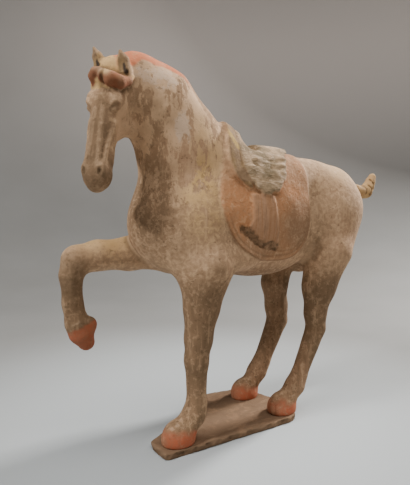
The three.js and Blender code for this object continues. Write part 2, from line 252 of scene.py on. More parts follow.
def ripple(points, length, seed):
    """Smooth unevenness between about -1 and 1 that repeats over roughly this length"""
    dice = np.random.RandomState(seed)
    total = np.zeros(len(points))
    for _ in range(WAVES):
        way = dice.normal(size=3)
        way *= 2.0 * math.pi / (length * dice.uniform(0.6, 1.6)) / np.linalg.norm(way)
        total += np.sin(points @ way + dice.uniform(0.0, 2.0 * math.pi))
    return total / WAVE_SUM


class Egg:
    """An egg of clay with its own axes"""

    def __init__(self, centre, radii, axes=WORLD):
        self.centre = np.array(centre, float)
        self.radii = np.array(radii, float)
        self.axes = np.array(axes, float)
        half = np.sqrt(((self.axes.T * self.radii) ** 2).sum(1))
        self.low, self.high = self.centre - half, self.centre + half

    def distance(self, x, y, z):
        """About how far outside the egg a place is, negative inside it"""
        offset = (x - self.centre[0], y - self.centre[1], z - self.centre[2])
        near = 0.0
        slope = 0.0
        for axis, radius in zip(self.axes, self.radii):
            q = (offset[0] * axis[0] + offset[1] * axis[1] + offset[2] * axis[2]) / radius
            near = near + q * q
            slope = slope + (q / radius) ** 2
        near = np.sqrt(near)
        return near * (near - 1.0) / (np.sqrt(slope) + 1e-9)


class Limb:
    """A tapered bar of clay, round when flat is 1 and thinner across the horse the higher it is"""

    def __init__(self, start, end, start_radius, end_radius, flat=1.0):
        self.start, self.end = np.array(start, float), np.array(end, float)
        self.start_radius, self.end_radius, self.flat = start_radius, end_radius, flat
        widest = max(start_radius, end_radius)
        self.low = np.minimum(self.start, self.end) - widest
        self.high = np.maximum(self.start, self.end) + widest

    def distance(self, x, y, z):
        """About how far outside the bar a place is, negative inside it"""
        along = self.end - self.start
        u, v, w = x - self.start[0], y - self.start[1], z - self.start[2]
        t = np.clip((u * along[0] + v * along[1] + w * along[2]) / max(along @ along, 1e-9), 0, 1)
        u, v, w = u - t * along[0], v - t * along[1], w - t * along[2]
        r = self.start_radius + (self.end_radius - self.start_radius) * t
        if self.flat == 1.0:
            return np.sqrt(u * u + v * v + w * w) - r
        near = np.sqrt(u * u + w * w + (v * self.flat) ** 2) / r
        slope = np.sqrt(u * u + w * w + (v * self.flat**2) ** 2) / (r * r) + 1e-9
        return near * (near - 1.0) / slope


class Flank:
    """A saddle piece's outline as seen from the side, worked through the whole width"""

    def __init__(self, outline, low_x, high_x, low_z, high_z):
        self.low = np.array([low_x, -120.0, low_z])
        self.high = np.array([high_x, 120.0, high_z])
        self.outline = outline

    def distance(self, x, y, z):
        """How far outside the outline a place is, the same at every y"""
        return self.outline(x, z) + 0.0 * y


class Clay:
    """Clay as distances on a grid of points, negative inside it"""

    # Distances given to the empty grid and to parts emptied again, and how far round a shape is worked
    far = 60.0
    emptied = 2.0
    reach = 22.0

    def __init__(self, xs, ys, zs):
        self.lines = [np.asarray(values, np.float32) for values in (xs, ys, zs)]
        self.d = np.full([len(values) for values in self.lines], self.far, np.float32)

    def window(self, low, high, pad):
        """The part of the grid round a box"""
        cut = []
        for values, a, b in zip(self.lines, low, high):
            first = max(np.searchsorted(values, a - pad) - 1, 0)
            cut.append(slice(first, max(np.searchsorted(values, b + pad) + 1, first)))
        return tuple(cut)

    def near(self, shape, window):
        """Distances to a shape in that part of the grid"""
        xs, ys, zs = (values[part] for values, part in zip(self.lines, window))
        return shape.distance(xs[:, None, None], ys[None, :, None], zs[None, None, :])

    def join(self, shape, blend):
        """Press a shape on, smoothed over this width"""
        window = self.window(shape.low, shape.high, self.reach + blend)
        a, b = self.d[window], self.near(shape, window)
        h = np.maximum(blend - np.abs(a - b), 0) / blend
        self.d[window] = np.minimum(a, b) - h**3 * blend / 6

    def cut(self, shape, blend):
        """Scoop a shape out, smoothed over this width"""
        window = self.window(shape.low, shape.high, self.reach + blend)
        a, b = self.d[window], -self.near(shape, window)
        h = np.maximum(blend - np.abs(a - b), 0) / blend
        self.d[window] = np.maximum(a, b) + h**3 * blend / 6

    def lift(self, shape, height, edge):
        """Raise the clay inside a shape, or sink it when height is below 0"""
        window = self.window(shape.low, shape.high, 0.0)
        self.d[window] -= height * smooth(-self.near(shape, window), -edge, edge)

    def clear_below(self, height):
        """Empty the grid under a height"""
        self.d[:, :, self.lines[2] < height] = self.emptied

    def chain(self, points, blend, flat=1.0):
        """Join bars from point to point, each given as x, y, z and radius"""
        for start, end in zip(points, points[1:]):
            self.join(Limb(start[:3], end[:3], start[3], end[3], flat), blend)

    def groove(self, points, radius, blend):
        """Cut along a bent line"""
        for start, end in zip(points, points[1:]):
            self.cut(Limb(start, end, radius, radius), blend)

    def at(self, points):
        """Distance at free points, read between the grid's"""
        points = np.atleast_2d(points)
        cells, parts = [], []
        for values, p in zip(self.lines, points.T):
            cell = np.clip(np.searchsorted(values, p) - 1, 0, len(values) - 2)
            cells.append(cell)
            parts.append(np.clip((p - values[cell]) / (values[cell + 1] - values[cell]), 0, 1))
        total = 0.0
        for i in (0, 1):
            for j in (0, 1):
                for k in (0, 1):
                    share = 1.0
                    for part, corner in zip(parts, (i, j, k)):
                        share = share * (part if corner else 1 - part)
                    total = total + share * self.d[cells[0] + i, cells[1] + j, cells[2] + k]
        return total

    def slope(self, points, h=1.0):
        """Direction out of the clay"""
        rise = [self.at(points + h * axis) - self.at(points - h * axis) for axis in WORLD]
        rise = np.stack(rise, 1)
        return rise / (np.linalg.norm(rise, axis=1, keepdims=True) + 1e-9)

    def surface(self, start, way, length=90.0):
        """Where a needle pushed from start meets the clay"""
        start, way = np.array(start, float), np.array(way, float)
        steps = np.arange(0.0, length, 0.5)
        d = self.at(start + steps[:, None] * way)
        inside = np.nonzero(d < 0)[0]
        if len(inside) == 0:
            raise RuntimeError("A needle missed the clay")
        i = max(inside[0], 1)
        share = d[i - 1] / (d[i - 1] - d[i] + 1e-9)
        return start + (steps[i - 1] + 0.5 * share) * way

    def skin(self):
        """One point in each grid cell that the surface crosses, joined by quads"""
        d, inside = self.d, self.d < 0
        shape = np.array(d.shape) - 1
        corners = [(i, j, k) for i in (0, 1) for j in (0, 1) for k in (0, 1)]
        count = np.zeros(shape, np.int8)
        for i, j, k in corners:
            count += inside[i : shape[0] + i, j : shape[1] + j, k : shape[2] + k]
        crossed = (count > 0) & (count < 8)
        cells = np.argwhere(crossed)
        number = np.full(shape, -1, np.int32)
        number[crossed] = np.arange(len(cells))
        total, hits = np.zeros((len(cells), 3)), np.zeros(len(cells))
        for corner in corners:
            for axis in range(3):
                if corner[axis]:
                    continue
                a = cells + corner
                b = a + np.eye(3, dtype=int)[axis]
                da, db = d[tuple(a.T)], d[tuple(b.T)]
                hit = (da < 0) != (db < 0)
                place = np.array(corner, float) + np.zeros((len(cells), 3))
                place[:, axis] = np.where(hit, da / (da - db + 1e-12), 0)
                total[hit] += place[hit]
                hits[hit] += 1
        place = cells + total / hits[:, None]
        points = [
            np.interp(place[:, axis], np.arange(len(values)), values)
            for axis, values in enumerate(self.lines)
        ]
        return np.stack(points, 1), self.quads(inside, number)

    def quads(self, inside, number):
        """A face across each grid edge that leaves the clay, turned outwards"""
        faces = []
        for axis in range(3):
            u, v = (axis + 1) % 3, (axis + 2) % 3
            before, after = [slice(None)] * 3, [slice(None)] * 3
            before[axis], after[axis] = slice(0, -1), slice(1, None)
            edges = np.argwhere(inside[tuple(before)] != inside[tuple(after)])
            around = []
            for du, dv in ((0, 0), (1, 0), (1, 1), (0, 1)):
                cell = edges.copy()
                cell[:, u] -= du
                cell[:, v] -= dv
                around.append(number[tuple(cell.T)])
            quad = np.stack(around, 1)
            outward = inside[tuple(edges.T)]
            quad[~outward] = quad[~outward][:, ::-1]
            faces.append(quad)
        return np.concatenate(faces)


def grid_line(low, high, stretches):
    """Grid positions from low to high. A stretch (start, end, step) sets the spacing there."""
    values = [low]
    while values[-1] < high:
        step = next(s for a, b, s in stretches if a <= values[-1] < b)
        values.append(values[-1] + step)
    return np.array(values)


def model_trunk(clay):
    """Barrel, back, breast, croup and thighs"""
    clay.join(Egg((66, 0, 334.5), (150, 70, 99.5)), 20)
    clay.chain([(40, 0, 400, 40), (130, 0, 394, 40), (175, 0, 392.5, 40), (224, 0, 383, 40)], 30, 0.9)
    clay.join(Egg((-56, 0, 330), (86, 64, 86)), 40)
    clay.join(Egg((-100, 0, 318), (52, 52, 56)), 30)
    clay.join(Egg((223, 0, 348), (84, 68, 76)), 50)
    for side in (-1, 1):
        clay.join(Egg((206, side * 32, 312), (60, 40, 82)), 30)
        clay.join(Egg((-62, side * 39, 300), (50, 29, 58)), 40)


def model_neck(clay):
    """Neck and withers, with the dip behind the pommel and the pad of the back behind it"""
    crest = [(-24, 0, 385, 80), (-74, 0, 435, 67), (-114, 0, 490, 57)]
    crest += [(-147, 0, 514, 40), (-168, -2, 508, 36)]
    clay.chain(crest, 22, 1.5)
    clay.join(Limb((-95, 0, 398), (-101, 0, 337), 40, 46, 1.2), 30)
    clay.join(Limb((-24, 0, 444), (6, 0, 449), 22, 19, 1.2), 20)
    for x, z, radius in ((34, 453, 27), (28, 482, 31.5)):
        clay.cut(Limb((x, -80, z), (x, 80, z), radius, radius), 6)
    clay.join(Limb((70, 0, 419), (93, 0, 420), 20, 20, 0.55), 10)


def head_chain(clay, points, blend):
    """Join bars given as down, left, out and radius"""
    clay.chain([(*on_head(*p[:3]), p[3]) for p in points], blend)


def model_head(clay):
    """Skull, jaw, throat, nose, muzzle, chin, brows and nostril wings"""
    m = MUZZLE_DOWN
    head_chain(clay, [(7, 0, -22, 31), (40, 0, -16, 26)], 14)
    clay.join(Egg(on_head(-2, 3, -8), (17.5, 20, 16), HEAD), 8)
    clay.join(Egg(on_head(50, 0, -32), (36, 20, 26), HEAD), 12)
    clay.join(Limb((-174, -5, 455), (-140, -3, 452), 13, 13), 14)
    head_chain(clay, [(44, 0, -8, 21), (78, 0.5, -4, 16.5), (122, 2, -3, 17.5)], 12)
    clay.join(Limb(on_head(70, 0, -24), on_head(m - 12, 2, -11), 14, 10), 12)
    clay.join(Egg(on_head(m, 2.5, -1), (20.5, 18.5, 19), HEAD), 10)
    clay.join(Egg(on_head(m + 5, -4, -14), (14, 14, 13), HEAD), 8)
    for side in (-1, 1):
        clay.join(Egg(on_head(43, side * 16, 1), (12, 8, 10), HEAD), 8)
        clay.join(Egg(on_head(m - 5, 2.5 + side * 10.5, 9), (10, 7, 8), HEAD), 6)


def face_point(clay, down, left, lift):
    """A point over the face, at this height above the clay"""
    found = clay.surface(on_head(down, left, 45), -HEAD[2])
    return found + lift * HEAD[2]


def brow_point(clay, down, angle, lift):
    """A point round the head at this angle from the forehead, and this height above the clay"""
    out = math.cos(math.radians(angle)) * HEAD[2] + math.sin(math.radians(angle)) * HEAD[1]
    found = clay.surface(on_head(down, 0, -16) + 70 * out, -out)
    return found + lift * out


def cheek_point(clay, down, out, side, lift):
    """A point beside the head, at this height above the clay"""
    found = clay.surface(on_head(down, side * 50, out), -side * HEAD[1])
    return found + lift * side * HEAD[1]


# Measured from between the ears: down the face and aside, then down the cheek or lip and out
NOSE_RIDGE = [(60, 5), (82, 6), (104, 6.5), (136, 8.5)]
CHEEK_RIDGE = [(72, 0), (88, 3), (106, 6), (126, 9)]
LIP = [(MUZZLE_DOWN - 6, -14), (MUZZLE_DOWN + 3, -11), (MUZZLE_DOWN + 10, -8.5)]
MOUTH_RADIUS = 1.3

# Down the face, and the angle round the head from the forehead
UPPER_LID = [(58, 24), (50.5, 33), (47.5, 44), (49, 56)]
LOWER_LID = [(59, 27), (58.5, 40), (53, 55)]
LID_GAP = [(57.5, 28), (53.5, 41), (50.5, 54)]
LID_RADIUS = 1.6


def model_face(clay, sizes):
    """Nose and cheek ridges, eyes, nostrils and mouth"""
    ridge = sizes.ridge / MM
    slit = sizes.eye_slit / MM
    for side in (-1, 1):
        nose = [face_point(clay, down, side * left, 0.2 - ridge / 2) for down, left in NOSE_RIDGE]
        cheek = [cheek_point(clay, down, out, side, -ridge / 2) for down, out in CHEEK_RIDGE]
        for line in (nose, cheek):
            for start, end in zip(line, line[1:]):
                clay.join(Limb(start, end, ridge, ridge), 4)
        clay.join(Egg(brow_point(clay, 54, side * 41, -5.2), (6.5, 7.5, 6), HEAD), 3)
        upper = [brow_point(clay, down, side * angle, -1.0) for down, angle in UPPER_LID]
        lower = [brow_point(clay, down, side * angle, -1.4) for down, angle in LOWER_LID]
        for line in (upper, lower):
            for start, end in zip(line, line[1:]):
                clay.join(Limb(start, end, LID_RADIUS, LID_RADIUS), 3)
        gap = [brow_point(clay, down, side * angle, 0.3) for down, angle in LID_GAP]
        clay.groove(gap, slit, 1.5)
        clay.cut(Egg(face_point(clay, MUZZLE_DOWN, 2 + side * 11, 0.8), (5, 2.4, 4), HEAD), 3)
        mouth = [cheek_point(clay, down, out, side, 0.4) for down, out in LIP]
        clay.groove(mouth, MOUTH_RADIUS, 2)
    chin = [clay.surface(on_head(MUZZLE_DOWN + 45, left, -7.5), -HEAD[0]) for left in (-8, 0, 8)]
    clay.groove(chin, MOUTH_RADIUS, 2)


# Bars given as down, left, out and radius, and the parting as places without one
EARS = [
    {
        "leaf": [(-22, 15, 3, 2.6), (-11, 19, 0, 7.5), (2, 21, -3, 9.5), (10, 20, -6, 9)],
        "hollow": [(-15, 17, 7.5, 2.6), (-5, 20.5, 9, 5.2), (3, 22, 9, 5.2)],
    },
    {
        "leaf": [(-28, -22.5, 3, 2.8), (-17, -17, 1, 7.2), (-5, -12.5, -2, 8.5), (5, -12, -5, 8)],
        "hollow": [(-21, -22, 6.5, 2.3), (-12, -19.5, 9, 4.5), (-3, -16.5, 9, 4.5)],
    },
]
LEFT_LOBE = [(11, -4, 14, 5.5), (17, 2, 14.5, 8.3), (21, 11.6, 13.5, 9.3)]
LEFT_LOBE += [(22, 21, 7, 8.6), (16, 28, -4, 5.5), (7, 31, -9, 3)]
RIGHT_LOBE = [(10, -6, 14, 5.5), (11, -11, 12, 7.2), (14, -15, 7, 7.8), (21, -16, 3, 4.5)]
FORELOCK = [LEFT_LOBE, RIGHT_LOBE]
FORELOCK_PARTING = [(8, 3.5, 24), (16, 3.0, 24), (23, 2.0, 20), (28, 0.5, 12)]


def head_limbs(points):
    """Bars from point to point, given as down, left, out and radius"""
    places = [(on_head(*p[:3]), p[3]) for p in points]
    return [Limb(a[0], b[0], a[1], b[1]) for a, b in zip(places, places[1:])]


def model_ear(clay, ear):
    """An upright leaf of clay, hollow in front"""
    for bar in head_limbs(ear["leaf"]):
        clay.join(bar, 5)
    for bar in head_limbs(ear["hollow"]):
        clay.cut(bar, 2.5)


def model_forelock(clay):
    """Two fat curls tied between the ears"""
    for lobe in FORELOCK:
        for bar in head_limbs(lobe):
            clay.join(bar, 2.5)
    clay.join(Egg(on_head(17, -6, 7), (8, 8, 6), HEAD), 4)
    clay.groove([on_head(*place) for place in FORELOCK_PARTING], 2.2, 3)


def hoof_shape(x, y):
    """A hoof that stands on the slab"""
    return Egg((x, y, SLAB_TOP + 7), (27, 21, 27))


# The standing hooves as x and y: left fore, left hind, right hind
HOOVES = [(FORE_HOOF_X, LEFT_FORE_Y), (HIND_HOOF_X, -HIND_Y), (HIND_HOOF_X + FAR_HIND_SETBACK, HIND_Y)]

# The raised foot as x, z and radius, and its coronet as a place and the way to the toe
RAISED_HOOF = [(-217, 179, 17), (-211, 164, 17.5), (-204, 150, 12.8)]
CORONET = (-211.0, 176.0)
CORONET_WAY = (0.40, -0.917)


def in_plane(points, y):
    """Bars given as x, z and radius, put at this distance from the middle plane"""
    return [(x, y, z, r) for x, z, r in points]


def model_standing_foreleg(clay):
    """Left foreleg, with its elbow filled towards the belly, and a flat knee"""
    leg = [(-56, 257, 42), (-60, 203, 26.5), (-65, 155, 20), (-67, 122, 16.8)]
    leg += [(-66, 60, 14.5), (-71, 44, 16.5), (-88, 26, 17)]
    clay.chain(in_plane(leg[:2], LEFT_FORE_Y), 30)
    clay.chain(in_plane(leg[1:], LEFT_FORE_Y), 12)
    clay.join(Egg((-4, -30, 275), (50, 40, 25)), 24)
    clay.join(Egg((-78, LEFT_FORE_Y, 129), (7.5, 12, 15)), 9)
    clay.join(hoof_shape(*HOOVES[0]), 8)


def model_raised_foreleg(clay):
    """Right foreleg: forearm held level, cannon and foot hanging"""
    forearm = [(-84, 280, 31), (-138, 275.5, 25), (-186, 274.5, 21.7), (-217, 268.5, 21)]
    cannon = [(-217, 268.5, 21), (-225, 248, 15.8), (-223, 208, 14), (-217, 179, 17)]
    clay.chain(in_plane(forearm, RIGHT_FORE_Y), 12)
    clay.chain(in_plane(cannon, RIGHT_FORE_Y), 10)
    clay.chain(in_plane(RAISED_HOOF, RIGHT_FORE_Y), 6)
    clay.join(Egg((-199, RIGHT_FORE_Y, 175), (11, 12, 12)), 10)


# Bars given as x, z and radius
NEAR_HIND = {
    "thigh": [(200, 276, 46), (182, 215, 31), (175, 168, 20), (177, 142, 17)],
    "cannon": [(177, 142, 17), (140, 63, 13.5), (132, 49, 16), (112, 28, 15.5)],
}
FAR_HIND = {
    "thigh": [(192, 290, 42), (157, 245, 28), (151, 213, 25.5), (156, 168, 21.5), (159, 142, 19)],
    "cannon": [(159, 142, 19), (123, 66, 15), (114, 51, 17), (95, 28, 15.5)],
}


def model_hind_leg(clay, leg, y, hoof_x):
    """A hind leg with the spur at its fetlock"""
    clay.chain(in_plane(leg["thigh"], y), 14, 1.2)
    clay.chain(in_plane(leg["cannon"], y), 10)
    fetlock = leg["cannon"][2]
    clay.join(Egg((fetlock[0] + 14, y, fetlock[1]), (7, 7, 5)), 4)
    clay.join(hoof_shape(hoof_x, y), 8)


def cloth_outline(x, z):
    """Below 0 inside the saddle cloth, which is round in front and squarer behind"""
    front = CLOTH_FRONT_X + np.maximum(z - CLOTH_WAIST_Z, 0) * 0.25
    drop = np.maximum(CLOTH_WAIST_Z - z, 0) / (CLOTH_WAIST_Z - CLOTH_FOOT_Z)
    softness = 90 - 58 * smooth(z, 335, 385)
    before = (np.hypot((CLOTH_MIDDLE_X - x) / (CLOTH_MIDDLE_X - front), drop) - 1) * softness
    backwards = np.maximum(x - CLOTH_MIDDLE_X, 0) / (CLOTH_BACK_X - CLOTH_MIDDLE_X)
    behind = ((backwards**4 + drop**4) ** 0.25 - 1) * 75
    return np.where(x < CLOTH_MIDDLE_X, before, behind)


def flap_outline(x, z):
    """Below 0 inside the flap that hangs from the saddle"""
    front = 10 - 0.8 * np.maximum(330 - z, 0)
    back = 50 + 0.18 * (360 - z)
    foot = 288 + 0.5 * np.maximum(44 - x, 0)
    return np.maximum(np.maximum(front - x, x - back), np.maximum(foot - z, z - 368))


def pommel_middle(z):
    """Where the bent band over the withers has its middle at this height"""
    return 0.0066 * (z - 428) ** 2 - 14.5 + 0.4 * np.maximum(395 - z, 0)


def pommel_half_width(z):
    """Half the band's width, which tapers to its lower end"""
    return np.minimum(11.5, 0.6 * (z - 372))


def pommel_outline(x, z):
    """Below 0 inside the band over the withers"""
    return np.maximum(np.abs(x - pommel_middle(z)) - pommel_half_width(z), 377 - z)


def seat_outline(x, z):
    """Below 0 inside the seat cover, which has a scalloped edge and ends at the band"""
    drop = np.maximum(446 - z, 0)
    scallop = 0.8 * np.sin(0.21 * x + 0.13 * z) + 0.6 * np.sin(0.47 * x - 0.21 * z)
    reach = x - 43 + 0.06 * drop
    reach = reach / np.where(reach > 0, 48 + 1.4 * np.maximum(z - 430, 0), 48)
    edge = (np.hypot(reach, drop / 77) - 1) * 45 + scallop
    return np.maximum(edge, pommel_middle(z) + pommel_half_width(z) + 0.6 - x)


CLOTH = Flank(cloth_outline, -60, 145, 255, 500)
FLAP = Flank(flap_outline, -30, 75, 280, 375)
POMMEL = Flank(pommel_outline, -40, 40, 374, 500)
SEAT = Flank(seat_outline, -20, 135, 360, 500)


# How many marks the seat has, the share of them that are dents, and the fold of the thigh as x and z
SEAT_MARKS = 70
DENT_SHARE = 0.45
FOLD = [(154, 297), (157, 281), (155, 267)]


def flank_point(clay, x, z, side):
    """Where a needle pushed in from one side meets the clay"""
    return clay.surface((x, side * 110, z), (0, -side, 0), 110)


def model_saddle(clay, sizes):
    """Cloth, flap, band and seat, and the fold behind them"""
    clay.lift(CLOTH, sizes.cloth_height / MM, 1.6)
    clay.lift(FLAP, sizes.flap_height / MM, 1.5)
    clay.lift(POMMEL, sizes.pommel_height / MM, 3)
    clay.lift(SEAT, sizes.seat_height / MM, 2.5)
    model_seat_marks(clay)
    for side in (-1, 1):
        fold = [flank_point(clay, x, z, side) for x, z in FOLD]
        clay.groove([spot + (0, side * 2.0, 0) for spot in fold], 4, 9)


def model_seat_marks(clay):
    """Small clumps and dents, strewn over the seat cover"""
    dice = np.random.RandomState(5)
    for _ in range(SEAT_MARKS):
        x, z = dice.uniform(12, 100), dice.uniform(366, 424)
        side = dice.choice((-1, 1))
        if seat_outline(x, z) > -5:
            continue
        spot = flank_point(clay, x, z, side)
        radii = (dice.uniform(4, 11), dice.uniform(2.5, 4), dice.uniform(3, 8))
        if dice.uniform() < DENT_SHARE:
            clay.cut(Egg(spot + (0, side * (radii[1] - 1.0), 0), radii), 4)
        else:
            clay.join(Egg(spot - (0, side * (radii[1] - 0.6), 0), radii), 5)


BROKEN_LINE = [(-5, 315), (6, 312), (20, 299), (38, 292), (55, 288)]


def off_line(first, second, line):
    """How far places are from a bent line, seen flat in two directions"""
    nearest = 1e9
    for start, end in zip(line, line[1:]):
        a, b = end[0] - start[0], end[1] - start[1]
        u, v = first - start[0], second - start[1]
        t = np.clip((u * a + v * b) / (a * a + b * b), 0, 1)
        nearest = np.minimum(nearest, np.hypot(u - t * a, v - t * b))
    return nearest


def broken_outline(x, z):
    """The ragged patch broken out across the left saddle flap"""
    ragged = 1.7 * np.sin(0.21 * x + 0.30 * z) + 1.1 * np.sin(0.61 * z - 0.27 * x)
    ragged = ragged + 0.5 * np.sin(0.9 * x)
    return off_line(x, z, BROKEN_LINE) - 5.0 - 0.0018 * (x - 26) ** 2 + ragged


# Only the left flap is broken
BROKEN = Flank(broken_outline, -20, 70, 272, 332)
BROKEN.high[1] = 0.0
BROKEN_DEPTH = 2.4


def model_horse(sizes):
    """The whole horse in clay, on a grid that is finest round the head and the neck"""
    step, fine = sizes.skin_step / MM, sizes.head_step / MM
    xs = grid_line(-250, 316, ((-260, -146, fine), (-146, 130, step), (130, 400, step * 1.25)))
    ys = grid_line(-88, 88, ((-100, -66, step), (-66, 22, fine * 1.2), (22, 100, step)))
    zs = grid_line(4, 566, ((0, 260, step * 1.2), (260, 350, step), (350, 600, fine * 1.15)))
    clay = Clay(xs, ys, zs)
    model_trunk(clay)
    model_neck(clay)
    model_head(clay)
    for ear in EARS:
        model_ear(clay, ear)
    model_face(clay, sizes)
    model_forelock(clay)
    model_standing_foreleg(clay)
    model_raised_foreleg(clay)
    model_hind_leg(clay, NEAR_HIND, -HIND_Y, HIND_HOOF_X)
    model_hind_leg(clay, FAR_HIND, HIND_Y, HIND_HOOF_X + FAR_HIND_SETBACK)
    model_saddle(clay, sizes)
    clay.lift(BROKEN, -BROKEN_DEPTH, 1.2)
    clay.clear_below(SLAB_TOP - SOLE_SINK)
    return clay


class Socket:
    """A value in a shader, so that masks are written as sums and products"""

    def __init__(self, paint, socket):
        self.paint = paint
        self.socket = socket

    def math(self, operation, *others):
        """This value and others, worked through one operation"""
        inputs = dict(enumerate((self, *others)))
        return self.paint.node("ShaderNodeMath", {"operation": operation}, inputs)

    def __add__(self, other):
        return self.math("ADD", other)

    __radd__ = __add__

    def __mul__(self, other):
        return self.math("MULTIPLY", other)

    __rmul__ = __mul__

    def __sub__(self, other):
        return self.math("SUBTRACT", other)

    def __rsub__(self, other):
        return (self * -1.0) + other

    def clamp(self):
        """Held between 0 and 1"""
        return self.math("MINIMUM", 1.0).math("MAXIMUM", 0.0)

    def between(self, low, high):
        """0 where the value is at or under low, 1 from high upwards"""
        ends = {"Value": self, "From Min": low, "From Max": high}
        return self.paint.node("ShaderNodeMapRange", {"interpolation_type": "SMOOTHSTEP"}, ends)


class Paint:
    """One material and its nodes"""

    # Places of the mix node's sockets when it mixes colours
    share_in = 0
    first_in = 6
    second_in = 7
    colour_out = 2

    def __init__(self, name):
        self.material = bpy.data.materials.new(name)
        self.material.use_nodes = True
        self.tree = self.material.node_tree
        self.shader = self.tree.nodes["Principled BSDF"]
        self.place = self.node("ShaderNodeTexCoord", {}, {}, "Object")

    def node(self, kind, settings, inputs, output=0):
        """A node of any kind with its settings and inputs, as one of its outputs"""
        made = self.tree.nodes.new(kind)
        for name, value in settings.items():
            setattr(made, name, value)
        for name, value in inputs.items():
            self.feed(made.inputs[name], value)
        return Socket(self, made.outputs[output])

    def feed(self, socket, value):
        """Link a value to a socket, or set it there when it is a plain number or colour"""
        if isinstance(value, Socket):
            self.tree.links.new(value.socket, socket)
        else:
            socket.default_value = value

    def mask(self, name):
        """A value kept on the points of the piece"""
        return self.node("ShaderNodeAttribute", {"attribute_name": name}, {}, "Fac")

    def stretched(self, x, y, z, turn=0.0):
        """The place on the piece turned about the crosswise direction, then scaled"""
        sides = {"Vector": self.place, "Rotation": (0.0, turn, 0.0), "Scale": (x, y, z)}
        return self.node("ShaderNodeMapping", {}, sides)

    def noise(self, scale, detail=3.0, rough=0.55, place=None, twist=0.0):
        """Cloudy unevenness about 0.5"""
        inputs = {"Vector": place or self.place, "Scale": scale, "Detail": detail}
        inputs.update({"Roughness": rough, "Distortion": twist})
        return self.node("ShaderNodeTexNoise", {}, inputs)

    def cells(self, scale):
        """Distance from the nearest of many strewn points"""
        inputs = {"Vector": self.place, "Scale": scale}
        return self.node("ShaderNodeTexVoronoi", {}, inputs, "Distance")

    def mix(self, share, first, second):
        """The first colour where the share is 0, the second where it is 1"""
        inputs = {self.share_in: share}
        inputs.update({self.first_in: self.full(first), self.second_in: self.full(second)})
        return self.node("ShaderNodeMix", {"data_type": "RGBA"}, inputs, self.colour_out)

    @staticmethod
    def full(colour):
        """A colour with its opacity"""
        return colour if isinstance(colour, Socket) else (*colour[:3], 1.0)

    def bump(self, height, distance, strength):
        """A finely uneven surface from a height"""
        inputs = {"Height": height, "Distance": distance, "Strength": strength}
        return self.node("ShaderNodeBump", {}, inputs)

    def finish(self, colour, roughness, normal, specular=0.25):
        """Feed the shader and hand over the material"""
        self.feed(self.shader.inputs["Base Color"], colour)
        self.feed(self.shader.inputs["Roughness"], roughness)
        self.feed(self.shader.inputs["Normal"], normal)
        self.shader.inputs["Specular IOR Level"].default_value = specular
        return self.material


def clay_ground(paint, colours):
    """Bare clay with patchy slip, streaks and earth, and painted shade in its hollows: its colour and
    height, and what the rest needs
    """
    tall = paint.stretched(1.0, 1.0, 0.44)
    broad = paint.noise(11.0, 3.0, 0.55)
    cloud = paint.noise(34.0, 4.0, 0.6)
    mottle = paint.noise(125.0, 5.0, 0.66, twist=0.3)
    grain = paint.noise(420.0, 3.0, 0.65)
    streak = paint.noise(120.0, 4.0, 0.6, paint.stretched(1.0, 1.0, 0.13))
    flake = paint.noise(52.0, 6.0, 0.62, tall, 0.3)
    chip = paint.noise(140.0, 5.0, 0.7, tall, 0.2)
    # The masks carry painted light too: shade in hollows and creases and under the curls and the belly,
    # highlights on the upper sides of the forearm and the rump
    slip, chalk, ochre, rose, mud, fleck, hollow, ridge = (
        paint.mask(name)
        for name in ("slip", "chalk", "ochre", "rose", "mud", "fleck", "hollow", "ridge")
    )

    brown = (cloud * 1.5 + broad * 0.9 - 1.0 + mud * 0.55).clamp()
    base = paint.mix(brown, colours.clay, paint.mix(0.62, colours.clay, colours.earth))
    base = paint.mix((rose * (0.45 + broad * 0.6)).clamp(), base, colours.rose)
    base = paint.mix(streak.between(0.50, 0.66) * (mud * 0.38 + 0.06), base, colours.earth)
    base = paint.mix((1.0 - streak.between(0.34, 0.46)) * 0.30, base, colours.slip)
    base = paint.mix(mottle.between(0.50, 0.62) * 0.22, base, colours.slip)
    base = paint.mix((0.18 - mud * 0.14).clamp(), base, colours.slip)
    large = flake * 0.64 + chip * 0.36
    small = mottle * 0.75 + cloud * 0.25
    cover = large + (small - large) * fleck + (slip - 0.5) * 0.5
    sharp = cover.between(0.46, 0.515)
    coat = sharp + (cover.between(0.36, 0.64) - sharp) * fleck
    tone = paint.mix(cloud.between(0.35, 0.65) * 0.42 + fleck * 0.06, colours.slip, colours.clay)
    tone = paint.mix((rose * 0.6).clamp(), tone, paint.mix(0.5, colours.slip, colours.rose))
    tone = paint.mix((ochre * (0.35 + broad * 0.9)).clamp(), tone, colours.ochre)
    whitest = (chalk * 0.30 + chip * 0.35 + mottle * 0.65).between(0.64, 0.78)
    tone = paint.mix(whitest * 0.7, tone, colours.chalk)
    colour = paint.mix((coat * (0.84 - mud * 0.56 - fleck * 0.10)).clamp(), base, tone)
    speck = paint.noise(290.0, 2.0, 0.5).between(0.60, 0.70)
    colour = paint.mix(speck * (mud * 0.35 + 0.22), colour, colours.earth)
    pock = paint.noise(95.0, 3.0, 0.6).between(0.64, 0.70)
    colour = paint.mix(pock * 0.4, colour, colours.earth)
    # Painted shade: darker towards earth in the hollows and creases
    colour = paint.mix((hollow * (0.55 + grain * 0.5)).clamp() * 0.75, colour, colours.earth)
    colour = paint.mix((ridge * (grain + 0.2)).clamp() * 0.45, colour, colours.slip)
    height = coat * 0.45 + grain * 0.30 + cloud * 0.5 + mottle * 0.5 - speck * 0.3 - pock * 0.4
    return colour, height, grain, cloud, coat, mud


